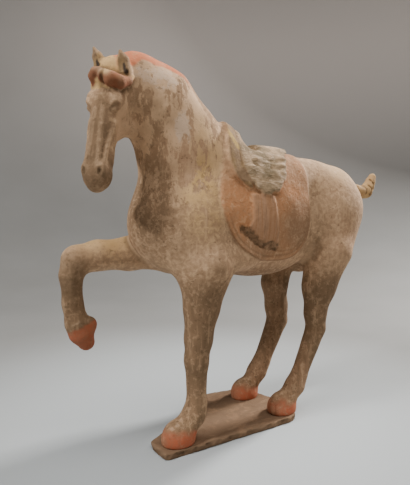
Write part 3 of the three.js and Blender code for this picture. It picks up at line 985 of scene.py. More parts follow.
def painted_saddle(paint, colours, colour, cloud, wear, fine):
    """Orange cloth, brown flap, grey-green seat and the band before it, over the clay's colour"""
    cloth, bright, dusk, flap, seat, band, yellow, line, hem = (
        paint.mask(name)
        for name in ("cloth", "bright", "dusk", "flap", "seat", "band", "yellow", "line", "hem")
    )
    hang = paint.noise(50.0, 4.0, 0.6, paint.stretched(1.0, 1.0, 0.2))
    dull = paint.mix(0.45, colours.clay, colours.orange)
    dusky = paint.mix(0.45, colours.earth, colours.rose)
    dyed = paint.mix((bright * 1.1 + cloud * 0.8 - 0.45).clamp(), dull, colours.orange)
    dyed = paint.mix((dusk * (0.5 + cloud)).clamp() * 0.75, dyed, dusky)
    dyed = paint.mix(hang.between(0.5, 0.66) * 0.30, dyed, colours.clay)
    dyed = paint.mix(wear.between(0.52, 0.64) * 0.35, dyed, colours.slip)
    dyed = paint.mix(fine.between(0.56, 0.68) * 0.25, dyed, colours.earth)
    worn = (wear * 0.7 + fine * 0.3).between(0.36, 0.56)
    colour = paint.mix((cloth * (0.45 + worn * 0.5)).clamp(), colour, dyed)

    pleats = paint.noise(60.0, 3.0, 0.6, paint.stretched(5.0, 1.0, 0.3))
    tan = paint.mix(0.35, colours.clay, colours.orange)
    leather = paint.mix(pleats.between(0.38, 0.62), tan, colours.rose)
    leather = paint.mix(pleats.between(0.52, 0.70) * 0.5, leather, colours.earth)
    colour = paint.mix(flap * 0.78, colour, leather)

    strokes = paint.noise(88.0, 4.0, 0.58, paint.stretched(0.6, 1.0, 1.6, 0.5), 1.2)
    pale_grey = paint.mix(0.4, colours.grey, colours.slip)
    dark_grey = paint.mix(0.5, colours.grey, colours.ink_and_shade)
    hide = paint.mix(cloud.between(0.38, 0.62), colours.grey, pale_grey)
    hide = paint.mix(strokes.between(0.52, 0.64) * 0.36, hide, colours.chalk)
    hide = paint.mix((1.0 - strokes.between(0.36, 0.45)) * 0.35, hide, dark_grey)
    colour = paint.mix(seat * 0.94, colour, hide)

    strap = paint.mix(0.25, paint.mix(0.4, colours.clay, colours.earth), colours.grey)
    strap = paint.mix(wear.between(0.45, 0.62) * 0.3, strap, paint.mix(0.5, colours.ochre, colours.grey))
    strap = paint.mix((yellow * (0.55 + cloud * 0.6)).clamp(), strap, colours.strap)
    strap = paint.mix(fine.between(0.55, 0.66) * 0.4, strap, colours.earth)
    colour = paint.mix(band * 0.9, colour, strap)

    # Pale lines along the back edges of the cloth and the flap, and painted highlights along the ridges of
    # nose and cheeks
    colour = paint.mix((line * (wear * 1.6 - 0.35)).clamp() * 0.6, colour, colours.slip)
    colour = paint.mix(hem * (0.25 + wear * 0.5), colour, colours.earth)
    height = pleats * flap * 0.6 - hem * 0.8 + strokes.between(0.45, 0.58) * seat * 0.9
    return colour, height


def painted_hair(paint, colours, colour, cloud, wear, fine, mud):
    """Salmon stripe of the mane and the two curls of the forelock, over the clay's colour"""
    mane, lock, pale = (paint.mask(name) for name in ("mane", "lock", "pale"))
    faded = paint.mix(0.5, colours.salmon, colours.slip)
    stripe = paint.mix(wear.between(0.5, 0.68) * 0.4, colours.salmon, faded)
    colour = paint.mix(mane * 0.92, colour, stripe)
    curl = paint.mix(cloud.between(0.35, 0.65), colours.salmon, colours.rose)
    curl = paint.mix(0.58, curl, colours.earth)
    # Earth-red on the far curl, and painted shade on the curls' undersides
    curl = paint.mix(mud * 0.85, curl, paint.mix(0.65, colours.red, colours.earth))
    curl = paint.mix(pale * (0.5 + fine * 0.5), curl, paint.mix(0.5, colours.slip, colours.ochre))
    return paint.mix(lock * 0.95, colour, curl)


def painted_clay(colours):
    """The horse's skin: slip, orange cloth, grey-green saddle, red hooves, forelock and mane"""
    paint = Paint("painted_clay_worn")
    colour, height, grain, cloud, coat, mud = clay_ground(paint, colours)
    wear = paint.noise(75.0, 6.0, 0.66, twist=0.4)
    fine = paint.noise(230.0, 4.0, 0.65)
    colour, raised = painted_saddle(paint, colours, colour, cloud, wear, fine)

    red, damage, stain_and_shade, ink_and_shade = (paint.mask(name) for name in ("red", "damage", "stain_and_shade", "ink_and_shade"))
    chipped = (wear * 0.6 + fine * 0.4).between(0.38, 0.52)
    faded = paint.mix(0.25, colours.red, colours.slip)
    rubbed = paint.mix(cloud.between(0.3, 0.7) * 0.4, colours.red, faded)
    rubbed = paint.mix(wear.between(0.5, 0.64) * 0.35, rubbed, colours.clay)
    colour = paint.mix((red * (0.48 + chipped * 0.50)).clamp() * 0.95, colour, rubbed)
    colour = painted_hair(paint, colours, colour, cloud, wear, fine, mud)

    deep = paint.mix(0.6, colours.ink_and_shade, colours.earth)
    pit = paint.mix(fine.between(0.40, 0.56), deep, colours.earth)
    pit = paint.mix(wear.between(0.42, 0.56) * 0.85, pit, colours.clay)
    colour = paint.mix(damage * 0.78, colour, pit)
    # Brown stains, with the painted shade they carry in the nostrils, round the eyes, in the forelock's
    # parting, in the ear hollows and along the belly's lower edge
    colour = paint.mix((stain_and_shade * (0.5 + fine * 0.6)).clamp() * 0.8, colour, colours.earth)
    # Dark painted shade in the ear hollows and the eye slits
    colour = paint.mix(ink_and_shade * 0.95, colour, colours.ink_and_shade)

    roughness = 0.93 - coat * 0.10 + grain * 0.06 - red * 0.08
    height = height + raised + damage * fine * 2.5
    return paint.finish(colour, roughness, paint.bump(height, 0.0009, 0.7))


def slab_clay(colours):
    """Rough, earth-stained clay"""
    paint = Paint("slab_clay_rough")
    broad = paint.noise(16.0, 4.0, 0.6)
    cloud = paint.noise(55.0, 5.0, 0.65, twist=0.3)
    grain = paint.noise(320.0, 4.0, 0.7)
    pits = paint.cells(190.0)
    wiped = paint.noise(70.0, 3.0, 0.6, paint.stretched(0.25, 1.0, 1.0))
    earthy = paint.mix(0.4, colours.slab, colours.earth)
    colour = paint.mix((broad * 1.5 - 0.3).clamp(), earthy, colours.slab)
    colour = paint.mix(cloud.between(0.52, 0.66) * 0.45, colour, colours.clay)
    colour = paint.mix(wiped.between(0.55, 0.75) * 0.12, colour, colours.slip)
    colour = paint.mix(grain.between(0.55, 0.7) * 0.4, colour, colours.earth)
    edge = paint.mask("edge")
    colour = paint.mix(edge * (0.05 + cloud * 0.3), colour, paint.mix(0.5, colours.slip, colours.slab))
    height = cloud + grain * 0.6 + (1.0 - pits.between(0.0, 0.25)) * -0.6 + wiped * 0.5
    roughness = 0.90 + grain * 0.08
    return paint.finish(colour, roughness, paint.bump(height, 0.0014, 0.8))


def tail_clay(colours):
    """Yellowish clay of the tail, with painted shade in its folds, and darker at the root"""
    paint = Paint("tail_clay_buff")
    cloud = paint.noise(60.0, 4.0, 0.6, twist=0.3)
    grain = paint.noise(380.0, 3.0, 0.65)
    strand = paint.noise(130.0, 4.0, 0.6, paint.stretched(0.3, 1.0, 0.5))
    hollow = paint.mask("hollow")
    root = paint.mask("root")
    dull = paint.mix(0.45, colours.tail, colours.clay)
    colour = paint.mix(cloud.between(0.35, 0.62), dull, colours.tail)
    colour = paint.mix(strand.between(0.52, 0.7) * 0.35, colour, colours.clay)
    # Painted shade in the tail's folds
    colour = paint.mix((hollow * (0.5 + grain)).clamp() * 0.55, colour, colours.earth)
    colour = paint.mix(grain.between(0.6, 0.7) * 0.35, colour, colours.earth)
    colour = paint.mix(root * 0.8, colour, paint.mix(0.4, colours.earth, colours.ink_and_shade))
    height = cloud * 0.8 + grain * 0.4 + strand * 0.8
    roughness = 0.90 + grain * 0.08
    return paint.finish(colour, roughness, paint.bump(height, 0.0010, 0.8))


def floor_paper(colours):
    """Plain paper with painted light: pale round the figure, darker far from it, and a warm pool of painted
    light high on the wall
    """
    paint = Paint("floor_paper_painted_light")
    mottle = paint.noise(3.0, 3.0, 0.5)
    tooth = paint.noise(600.0, 2.0, 0.5)
    place = {"Vector": paint.place}
    away = paint.node("ShaderNodeVectorMath", {"operation": "LENGTH"}, place, "Value")
    side, height = (
        paint.node("ShaderNodeSeparateXYZ", {}, place, axis).between(low, high)
        for axis, low, high in (("X", -0.3, 1.3), ("Z", 0.2, 1.7))
    )
    # Painted light: the paper darkens away from the figure and brightens high on the wall towards +X
    colour = paint.mix(away.between(0.10, 0.72), colours.floor, colours.far_floor_shade)
    colour = paint.mix(height * (side * 0.75 + 0.25), colour, colours.high_wall_light)
    colour = paint.mix(mottle * 0.10, colour, colours.floor_cloud)
    return paint.finish(colour, 0.9, paint.bump(tooth, 0.0002, 0.2), 0.2)


def add_piece(name, points, faces, masks):
    """A piece with its place in its mesh, from points in millimetres"""
    mesh = bpy.data.meshes.new(name)
    mesh.vertices.add(len(points))
    mesh.vertices.foreach_set("co", (points * MM).astype(np.float32).ravel())
    mesh.loops.add(faces.size)
    mesh.loops.foreach_set("vertex_index", faces.astype(np.int32).ravel())
    mesh.polygons.add(len(faces))
    mesh.polygons.foreach_set("loop_start", np.arange(0, faces.size, 4, dtype=np.int32))
    mesh.polygons.foreach_set("loop_total", np.full(len(faces), 4, np.int32))
    mesh.update(calc_edges=True)
    mesh.validate()
    mesh.polygons.foreach_set("use_smooth", np.ones(len(faces), bool))
    set_masks(mesh, masks)
    piece = bpy.data.objects.new(name, mesh)
    bpy.context.scene.collection.objects.link(piece)
    return piece


def set_masks(mesh, masks):
    """Keep values between 0 and 1 on the points of a mesh"""
    for name, values in masks.items():
        mask = mesh.attributes.new(name, "FLOAT", "POINT")
        mask.data.foreach_set("value", np.clip(values, 0, 1).astype(np.float32))


def stand_for(piece, node, material):
    """Paint a piece and put it in the place of its plain solid"""
    piece.data.materials.clear()
    piece.data.materials.append(material)
    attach(piece, "root")
    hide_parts(node)


def inside(shapes, points, edge):
    """1 inside any of the shapes and 0 further than edge outside all of them"""
    nearest = np.min([shape.distance(*points.T) for shape in shapes], axis=0)
    return 1.0 - smooth(nearest, 0.0, edge)


def patch(points, centre, radius):
    """1 in the middle of an egg, fading to 0 at its edge"""
    gap = np.linalg.norm((points - np.array(centre)) / np.array(radius), axis=1)
    return 1.0 - smooth(gap, 0.35, 1.0)


def bend(clay, points, normals, depths):
    """How hollow the clay is there, or how swollen when the depths are below 0"""
    return sum(np.clip(1.0 - clay.at(points + depth * normals) / depth, -1, 1) for depth in depths)


def coronet_depth(points):
    """How far a point of the raised foot is past its coronet, towards the toe"""
    ahead = (points[:, 0] - CORONET[0]) * CORONET_WAY[0]
    return ahead + (points[:, 2] - CORONET[1]) * CORONET_WAY[1]


def hoof_masks(points):
    """Where the hooves are red and where the pale rim above them is"""
    red, rim = np.zeros(len(points)), np.zeros(len(points))
    wave = 1.5 * ripple(points, 24, 3)
    for x, y in HOOVES:
        gap = hoof_shape(x, y).distance(*points.T)
        height = points[:, 2] + 0.10 * (points[:, 0] - x) + wave
        behind_toe = smooth(points[:, 0] - x + 3 * wave, -34, -14)
        nearby = (1.0 - smooth(gap, 1.5, 4.0)) * (0.45 + 0.55 * behind_toe)
        red = np.maximum(red, nearby * (1.0 - smooth(height + wave, 22.0, 38.0)))
        above = smooth(height, 31.0, 35.0) * (1.0 - smooth(height, 42.0, 54.0))
        rim = np.maximum(rim, (1.0 - smooth(gap, 4.0, 14.0)) * above)
    toe = coronet_depth(points) + wave
    lifted = (points[:, 0] < -170) & (points[:, 2] < 215) & (points[:, 1] > 10)
    red = np.maximum(red, lifted * smooth(toe, -1.5, 1.5))
    rim = np.maximum(rim, lifted * smooth(toe, -22.0, -12.0) * (1.0 - smooth(toe, -2.0, 1.0)))
    return red, rim


# Lines seen from the side, as x and z
CREST = [(-2, 447), (-24, 440), (-77, 492), (-117, 535), (-150, 549), (-186, 541)]
CLOTH_BACK_LINE = [(133, 415), (134, 395), (131, 360), (130, 320)]
FLAP_BACK_LINE = [(52, 366), (53, 330), (61, 286)]
STRAP_STREAK = [(-22, 468), (-13, 452), (-5, 438)]

# The mane's half width and its middle, against the place along the horse
MANE_HALF_WIDTH = ([-190, -125, -95, -60, -20], [25, 21, 17, 10, 5])
MANE_MIDDLE = ([-190, -150, -120, -90, -50], [-8, -2, -6, -12, -16])


def hem_line(inner, depth, half_width):
    """A line that runs at this depth inside the edge of the cloth"""
    return np.exp(-(((inner + depth) / half_width) ** 2))


def saddle_masks(points, normals):
    """Where the saddle's parts are, and how their paint varies"""
    x, y, z = points.T
    side = smooth(np.abs(normals[:, 1]), 0.10, 0.35)
    inner = cloth_outline(x, z)
    cloth = (1.0 - smooth(inner, -0.6, 1.2)) * (z > 240) * (z < 500)
    cloth *= 1.0 - 0.85 * smooth(z - 0.5 * x, 392, 445) * (x < 40)
    band = (1.0 - smooth(pommel_outline(x, z), -1.0, 1.5)) * (z > 374)
    seat = (1.0 - smooth(seat_outline(x, z), -1.0, 1.5)) * (z > 350)
    flap = (1.0 - smooth(flap_outline(x, z), -0.8, 1.2)) * (1.0 - seat)
    band *= smooth(x, pommel_middle(z) - 12, pommel_middle(z) - 7)
    hem = 0.7 * hem_line(inner, 7.5, 1.5) + hem_line(inner, 0.2, 1.5)
    hem += 0.5 * hem_line(inner, 13.0, 1.3) * smooth(x, 30, 60)
    hem *= side * (1.0 - smooth(z, 325, 350)) * (z > 240) * cloth
    cloth_line = 0.8 * (1.0 - smooth(off_line(x, z, CLOTH_BACK_LINE), 0.4, 1.6))
    flap_line = 0.6 * (1.0 - smooth(off_line(x, z, FLAP_BACK_LINE), 0.4, 1.6))
    yellow = 1.2 - 1.2 * smooth(off_line(x, z, STRAP_STREAK), 2.5, 7.0)
    bright = patch(points, (-12, -60, 345), (48, 60, 62))
    bright += 0.9 * patch(points, (4, -60, 334), (20, 60, 26))
    bright += 0.8 * patch(points, (84, -60, 362), (52, 70, 40))
    dusk = 1.4 * patch(points, (106, -60, 326), (48, 60, 52))
    dusk += 0.6 * patch(points, (14, -60, 282), (62, 60, 30))
    dusk += 0.5 * patch(points, (30, -60, 350), (30, 60, 50))
    return {
        "cloth": cloth * (1 - seat) * (1 - band),
        "flap": flap,
        "seat": seat,
        "band": band,
        "hem": hem,
        "bright": bright,
        "dusk": dusk,
        "yellow": yellow * (y < 0),
        "line": np.maximum(cloth_line, flap_line) * side * (1 - seat),
    }


class Zones:
    """Parts of the horse that its slip, tints and dirt keep to, 1 inside and 0 outside"""

    def __init__(self, points, normals):
        self.points, self.normals = points, normals
        self.upward = normals[:, 2]
        self.places = (points - np.array(POLL)) @ HEAD.T
        self.lobes = inside([bar for lobe in FORELOCK for bar in head_limbs(lobe)], points, 1.8)
        self.ears = inside([bar for ear in EARS for bar in head_limbs(ear["leaf"])], points, 2)
        self.crown = inside([Egg(on_head(6, 0, -2), (28, 25, 24), HEAD)], points, 6)
        self.sockets = sum(self.spot(on_head(55, left, 6), (17, 14, 14)) for left in (19, -19))
        self.face = self.face_spot((95, 1, 6), (75, 26, 30))
        self.jaw = self.spot(on_head(68, 20, -26), (42, 36, 40))
        self.neck = self.spot((-112, -40, 445), (104, 110, 130))
        self.upper_neck = self.spot((-115, -40, 490), (70, 60, 55))
        self.chest = self.spot((-130, -20, 340), (60, 60, 80))
        self.shoulder = self.spot((-72, -55, 350), (46, 50, 85))
        self.forearm = self.spot((-165, 41, 290), (85, 40, 34))
        self.knee = self.spot((-228, 30, 248), (36, 44, 46))
        self.rump = self.spot((225, 0, 395), (95, 100, 70))
        self.thigh = self.spot((215, -30, 300), (75, 80, 75))
        self.shanks = 1.0 - smooth(points[:, 2], 210, 262)
        self.red, self.rim = hoof_masks(points)

    def spot(self, centre, radius):
        """1 in the middle of an egg, fading to 0 at its edge"""
        return patch(self.points, centre, radius)

    def face_spot(self, centre, radius):
        """The same, with centre and radius given down the face, to the left and out of it"""
        return patch(self.places, centre, radius)


def face_ridge_highlights(zones):
    """Painted highlights along the ridges of nose and cheeks"""
    down, left, out = zones.places.T
    aside = np.abs(left - 2)
    nose = 1.0 - smooth(off_line(down, aside, NOSE_RIDGE), 0.6, 2.0)
    nose *= smooth(out, 4, 9)
    cheek = 1.0 - smooth(off_line(down, out, CHEEK_RIDGE), 0.6, 2.0)
    cheek *= smooth(aside, 8, 11)
    return np.maximum(nose, cheek)


def face_masks(zones, hollow):
    """Dark and pale places about the head"""
    down, left = zones.places.T[:2]
    points, lobes = zones.points, zones.lobes
    nostrils, eyes = [], []
    for side in (-1, 1):
        nostrils.append(Limb(on_head(141, 2 + side * 10, 15), on_head(145, 2 + side * 12.5, 12), 2.0, 2.4))
        eyes.append(Limb(on_head(57, side * 15, 9), on_head(54, side * 21, 5), 1.4, 1.4))
    ear_shade = [Limb(on_head(-4, 22.5, 3.5), on_head(6, 26, 2.5), 0.8, 2.6)]
    ear_shade.append(Limb(on_head(-9, -16, 6), on_head(-2, -12, 7), 0.8, 2.6))
    # Painted shade: dark in the ear hollows and the eye slits
    ink_and_shade = inside(ear_shade, points, 2.2) * (1 - lobes) + 0.5 * inside(eyes, points, 1.0) * hollow
    parting = off_line(down, left, [(5, 3.5), (16, 3.0), (23, 2.0), (30, 0.0)])
    # Stains about the head, with painted shade in the nostrils, round the eye slits, in the forelock's
    # parting and in the ear hollows
    stain_and_shade = 0.5 * inside(nostrils, points, 2) + 0.6 * inside(eyes, points, 6)
    stain_and_shade += 0.9 * lobes * (1.0 - smooth(parting, 0.8, 3.0))
    stain_and_shade += zones.ears * (0.65 + 0.3 * smooth(zones.normals @ HEAD[2], -0.2, 0.5))
    stain_and_shade += 0.8 * zones.face_spot((85, 1, 12), (62, 22, 26))
    stain_and_shade += 0.85 * zones.face_spot((140, 1, 0), (38, 38, 38))
    pale = zones.spot(on_head(13, 7, 22), (10, 10, 9)) + zones.spot(on_head(7, 33, -7), (8, 8, 8))
    return {"lock": lobes, "ink_and_shade": ink_and_shade, "stain_and_shade": stain_and_shade, "pale": pale}


def mane_mask(points):
    """The painted stripe of the mane, which ends above the withers"""
    x, y, z = points.T
    wave = 0.8 * ripple(points, 30, 9)
    off_stripe = np.abs(y - np.interp(x, *MANE_MIDDLE)) + wave - np.interp(x, *MANE_HALF_WIDTH)
    on_crest = 1.0 - smooth(off_line(x, z, CREST), 24, 30)
    on_crest *= smooth(x, -190, -182) * (1.0 - smooth(x, -100, -60))
    return (1.0 - smooth(off_stripe, -1.0, 1.0)) * on_crest


def slip_cover(zones):
    """How well the slip has held: about half on the body, more on the rump, less on the legs. On the
    forearm's upper side it is raised as a painted highlight.
    """
    slip = 0.48 + 0.07 * zones.upper_neck + 0.06 * zones.shoulder - 0.06 * zones.chest
    slip += 0.32 * zones.rump + 0.04 * zones.thigh + 0.17 * zones.jaw
    # Painted highlight: paler on the upper side of the forearm
    slip += 0.34 * zones.forearm * smooth(zones.upward, -0.2, 0.6) + 0.34 * zones.rim
    slip += 0.30 * zones.crown - 0.27 * zones.shanks - 0.20 * zones.face - 0.10 * zones.ears
    slip += 0.22 * zones.spot((-138, -30, 522), (54, 60, 30))
    slip += 0.06 * zones.spot((-222, 41, 240), (30, 40, 60))
    return slip


def chalk_cover(zones):
    """Where the slip is thick and whitish"""
    chalk = zones.spot((-96, -45, 455), (22, 40, 36))
    chalk += 0.8 * zones.spot((-128, -35, 518), (55, 50, 26))
    return chalk + 0.6 * zones.rim + 0.5 * zones.rump


def ochre_tint(zones):
    """Where the slip is yellow, and the yellow painted highlight on the upper side of the rump"""
    ochre = 0.6 * zones.shoulder + 1.8 * zones.crown + 0.3 * zones.ears + 0.4 * zones.face
    ochre += 0.35 * zones.spot((-58, -50, 420), (42, 60, 95)) + 0.8 * zones.forearm
    # Painted highlight: yellow on the upper side of the rump
    ochre += 0.8 * zones.rump * smooth(zones.upward, 0.2, 0.8) + 0.3 * zones.rim
    return ochre * (1 - zones.lobes)


def rose_tint(zones):
    """Where a faint red is left on the slip and the clay"""
    x, z = zones.points[:, 0], zones.points[:, 2]
    rose = 0.55 * zones.rump + 0.8 * zones.thigh + 0.35 * (z < 275) * (x > -40) * (x < 150)
    rose += 0.6 * zones.spot((-90, -50, 425), (50, 50, 60))
    rose += 0.5 * zones.spot(on_head(65, 22, -20), (34, 30, 40))
    rose += 0.7 * zones.spot((-44, -42, 205), (14, 40, 60))
    return rose * (1 - zones.lobes)


def mud_cover(zones):
    """Where brown earth is streaked over the clay and dulls the slip, with painted shade under the belly
    and under the forelock's curls
    """
    mud = 1.1 * zones.shanks + 0.85 * zones.chest + 0.1 * zones.thigh + 0.7 * zones.face
    # Painted shade under the belly
    mud += 0.8 * zones.spot((50, 0, 245), (95, 90, 34))
    mud += 1.2 * zones.face_spot((135, 1, 0), (34, 40, 40))
    mud += 1.1 * zones.lobes * zones.spot(on_head(20, -12, 8), (18, 18, 18))
    # Painted shade on the undersides of the forelock's curls
    mud += 0.8 * zones.lobes * smooth(-zones.upward, -0.3, 0.6)
    return mud * (1 - 0.5 * zones.forearm)


def body_stain_and_shade(zones):
    """Brown stains on the legs and the chest, and painted shade along the lower edge of the belly"""
    x, z = zones.points[:, 0], zones.points[:, 2]
    stain_and_shade = 0.42 * zones.shanks * smooth(z, 60, 110) + 0.9 * zones.knee + 0.26 * zones.chest
    # Painted shade along the lower edge of the belly
    stain_and_shade += 0.4 * (1.0 - smooth(z, 225, 262)) * (x > -30) * (x < 130) * (z > 215)
    return stain_and_shade


def horse_masks(clay, points, normals):
    """What the paint needs at each point of the horse"""
    x, y, z = points.T
    zones = Zones(points, normals)
    # The hollow mask is painted as shade in the colour
    hollow = smooth(bend(clay, points, normals, (4.0, 9.0)), 0.10, 0.95)
    swell = smooth(bend(clay, points, normals, (-3.0, -6.0)), 0.12, 0.8)
    broken = 1.0 - smooth(broken_outline(x, z), -1.0, 1.2)
    masks = saddle_masks(points, normals)
    # The pale lines also take the painted highlights down the nose and cheek ridges
    masks["line"] = np.maximum(masks["line"], 1.4 * face_ridge_highlights(zones))
    masks.update(face_masks(zones, hollow))
    masks["stain_and_shade"] += body_stain_and_shade(zones)
    masks.update(
        red=zones.red,
        mane=mane_mask(points) * (1 - zones.ears),
        fleck=1.0 - smooth(zones.neck, 0.0, 0.5) * (1.0 - zones.face),
        slip=slip_cover(zones),
        chalk=chalk_cover(zones),
        ochre=ochre_tint(zones),
        rose=rose_tint(zones),
        mud=mud_cover(zones),
        hollow=hollow * (1 - 0.5 * zones.lobes) * (1 - 0.8 * zones.jaw) * (1 - 0.85 * zones.sockets),
        ridge=swell * (1 - zones.crown) * (1 - zones.sockets) * (1 - masks["flap"]),
        damage=broken * (y < 0) * (z < 340),
    )
    return masks


class CLAYHORSE_OT_horse(bpy.types.Operator):
    """Model the horse over its plain solid and paint it"""

    bl_idname = "clay_horse.horse"
    bl_label = "Model Horse"

    def execute(self, context):
        clay = model_horse(context.scene.clay_sizes)
        points, faces = clay.skin()
        normals = clay.slope(points)
        depth = context.scene.clay_sizes.hand_ripple / MM
        masks = horse_masks(clay, points, normals)
        dent = np.clip(0.5 + 0.5 * ripple(points, 46, 1), 0, 1)
        points = points - depth * dent[:, None] * normals
        low, high = (np.array(corner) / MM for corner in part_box("horse"))
        low[2] = SLAB_TOP - SOLE_LIMIT
        points = np.clip(points, low, high)
        horse = add_piece("horse_figure", points, faces, masks)
        stand_for(horse, "horse", painted_clay(context.scene.clay_colours))
        return {"FINISHED"}


def lone_selection(piece):
    """Select one piece alone and make it the active one"""
    bpy.ops.object.select_all(action="DESELECT")
    bpy.context.view_layer.objects.active = piece
    piece.select_set(True)


def apply_modifier(piece, kind, **settings):
    """Add a modifier and work it into the mesh"""
    lone_selection(piece)
    modifier = piece.modifiers.new(kind.title(), kind)
    for name, value in settings.items():
        setattr(modifier, name, value)
    bpy.ops.object.modifier_apply(modifier=modifier.name)


def read_points(piece, name):
    """A vector at every point of a piece: "co" is its place, "normal" the direction out of it"""
    values = np.empty(len(piece.data.vertices) * 3, np.float32)
    piece.data.vertices.foreach_get(name, values)
    return values.reshape(-1, 3).astype(float)


def set_points(piece, points):
    """Move every point of a piece to a place in millimetres"""
    piece.data.vertices.foreach_set("co", (points * MM).astype(np.float32).ravel())
    piece.data.update()


class CLAYHORSE_OT_slab(bpy.types.Operator):
    """Work the slab's surface and chip its edges"""

    bl_idname = "clay_horse.slab"
    bl_label = "Work Slab"

    def execute(self, context):
        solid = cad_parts["base_slab"]
        slab = solid.copy()
        slab.data = solid.data.copy()
        slab.name = slab.data.name = "clay_slab"
        context.scene.collection.objects.link(slab)
        lone_selection(slab)
        bpy.ops.object.mode_set(mode="EDIT")
        bpy.ops.mesh.select_all(action="SELECT")
        bpy.ops.mesh.remove_doubles(threshold=0.00002)
        bpy.ops.object.mode_set(mode="OBJECT")
        sizes = context.scene.clay_sizes
        apply_modifier(slab, "REMESH", mode="VOXEL", voxel_size=sizes.slab_step, use_smooth_shade=True)
        apply_modifier(slab, "SMOOTH", factor=0.5, iterations=3)
        points, normals = read_points(slab, "co") / MM, read_points(slab, "normal")
        rim = smooth(1.0 - np.abs(normals[:, 2]), 0.05, 0.6)
        chips = 1.3 * smooth(ripple(points, 16, 12), 0.15, 1.0) + smooth(ripple(points, 40, 13), 0.2, 1.0)
        dents = 0.5 + 0.35 * ripple(points, 30, 14) + 0.2 * ripple(points, 9, 15)
        top = np.clip(smooth(normals[:, 2], 0.2, 0.8) * dents, 0, 1.2)
        depth = sizes.slab_wear / MM * (chips + 0.25) * rim + top * (1 - rim)
        points = points - depth[:, None] * normals
        low, high = (np.array(corner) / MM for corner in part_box("base_slab"))
        points = np.clip(points, low, high)
        set_points(slab, points)
        set_masks(slab.data, {"edge": rim * smooth(points[:, 2], 5.0, 9.0)})
        stand_for(slab, "base_slab", slab_clay(context.scene.clay_colours))
        return {"FINISHED"}


# The bound dock of the tail and its upturned end as x, y, z and radius, and the creases that twist it
TAIL = [(297, 0, 390, 11.5), (318, 0, 388, 12), (332, 0, 386, 13), (348, 0, 388, 13.5)]
TAIL += [(356, 0, 397, 11.5), (362, 0, 407, 9.8), (367, 0, 417, 8)]
TAIL_CREASES = [
    {"line": [(334, -13, 378), (337, -12.4, 392), (334, -6, 401)], "radius": 1.6},
    {"line": [(346, -12, 379), (352, -11.5, 392), (346, -8, 402)], "radius": 1.5},
    {"line": [(357, -10.5, 394), (359, -9, 404), (355, -4, 412)], "radius": 1.3},
]
TAIL_STEP = 1.1


class CLAYHORSE_OT_tail(bpy.types.Operator):
    """Model the short upturned tail"""

    bl_idname = "clay_horse.tail"
    bl_label = "Model Tail"

    def execute(self, context):
        clay = Clay(*(np.arange(a, b, TAIL_STEP) for a, b in ((286, 380), (-18, 18), (366, 432))))
        clay.chain(TAIL, 4)
        for crease in TAIL_CREASES:
            clay.groove(crease["line"], crease["radius"], 3)
        clay.cut(Egg((311, -10, 396), (4, 4, 6)), 2)
        points, faces = clay.skin()
        normals = clay.slope(points)
        # How hollow the tail is, painted as shade in its folds
        hollow = smooth(bend(clay, points, normals, (4.0,)), 0.1, 0.6)
        points = points - 0.5 * (0.5 + 0.5 * ripple(points, 12, 21))[:, None] * normals
        low, high = (np.array(corner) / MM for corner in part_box("tail"))
        points = np.clip(points, low, high)
        seam = 1.0 - smooth(points[:, 0] + 0.4 * (points[:, 2] - 390), 305, 309)
        tail = add_piece("tail_stub", points, faces, {"hollow": hollow, "root": seam})
        stand_for(tail, "tail", tail_clay(context.scene.clay_colours))
        return {"FINISHED"}


def add_light(name, light, power):
    """A square light turned to the figure"""
    bpy.ops.object.light_add(type="AREA", location=light["place"])
    lamp = bpy.context.object
    lamp.name = name
    lamp.data.shape = "RECTANGLE"
    lamp.data.size = lamp.data.size_y = light["side"]
    lamp.data.energy = power
    lamp.data.color = light["colour"]
    way = Vector(LIGHT_TARGET) - Vector(light["place"])
    lamp.rotation_euler = way.to_track_quat("-Z", "Y").to_euler()


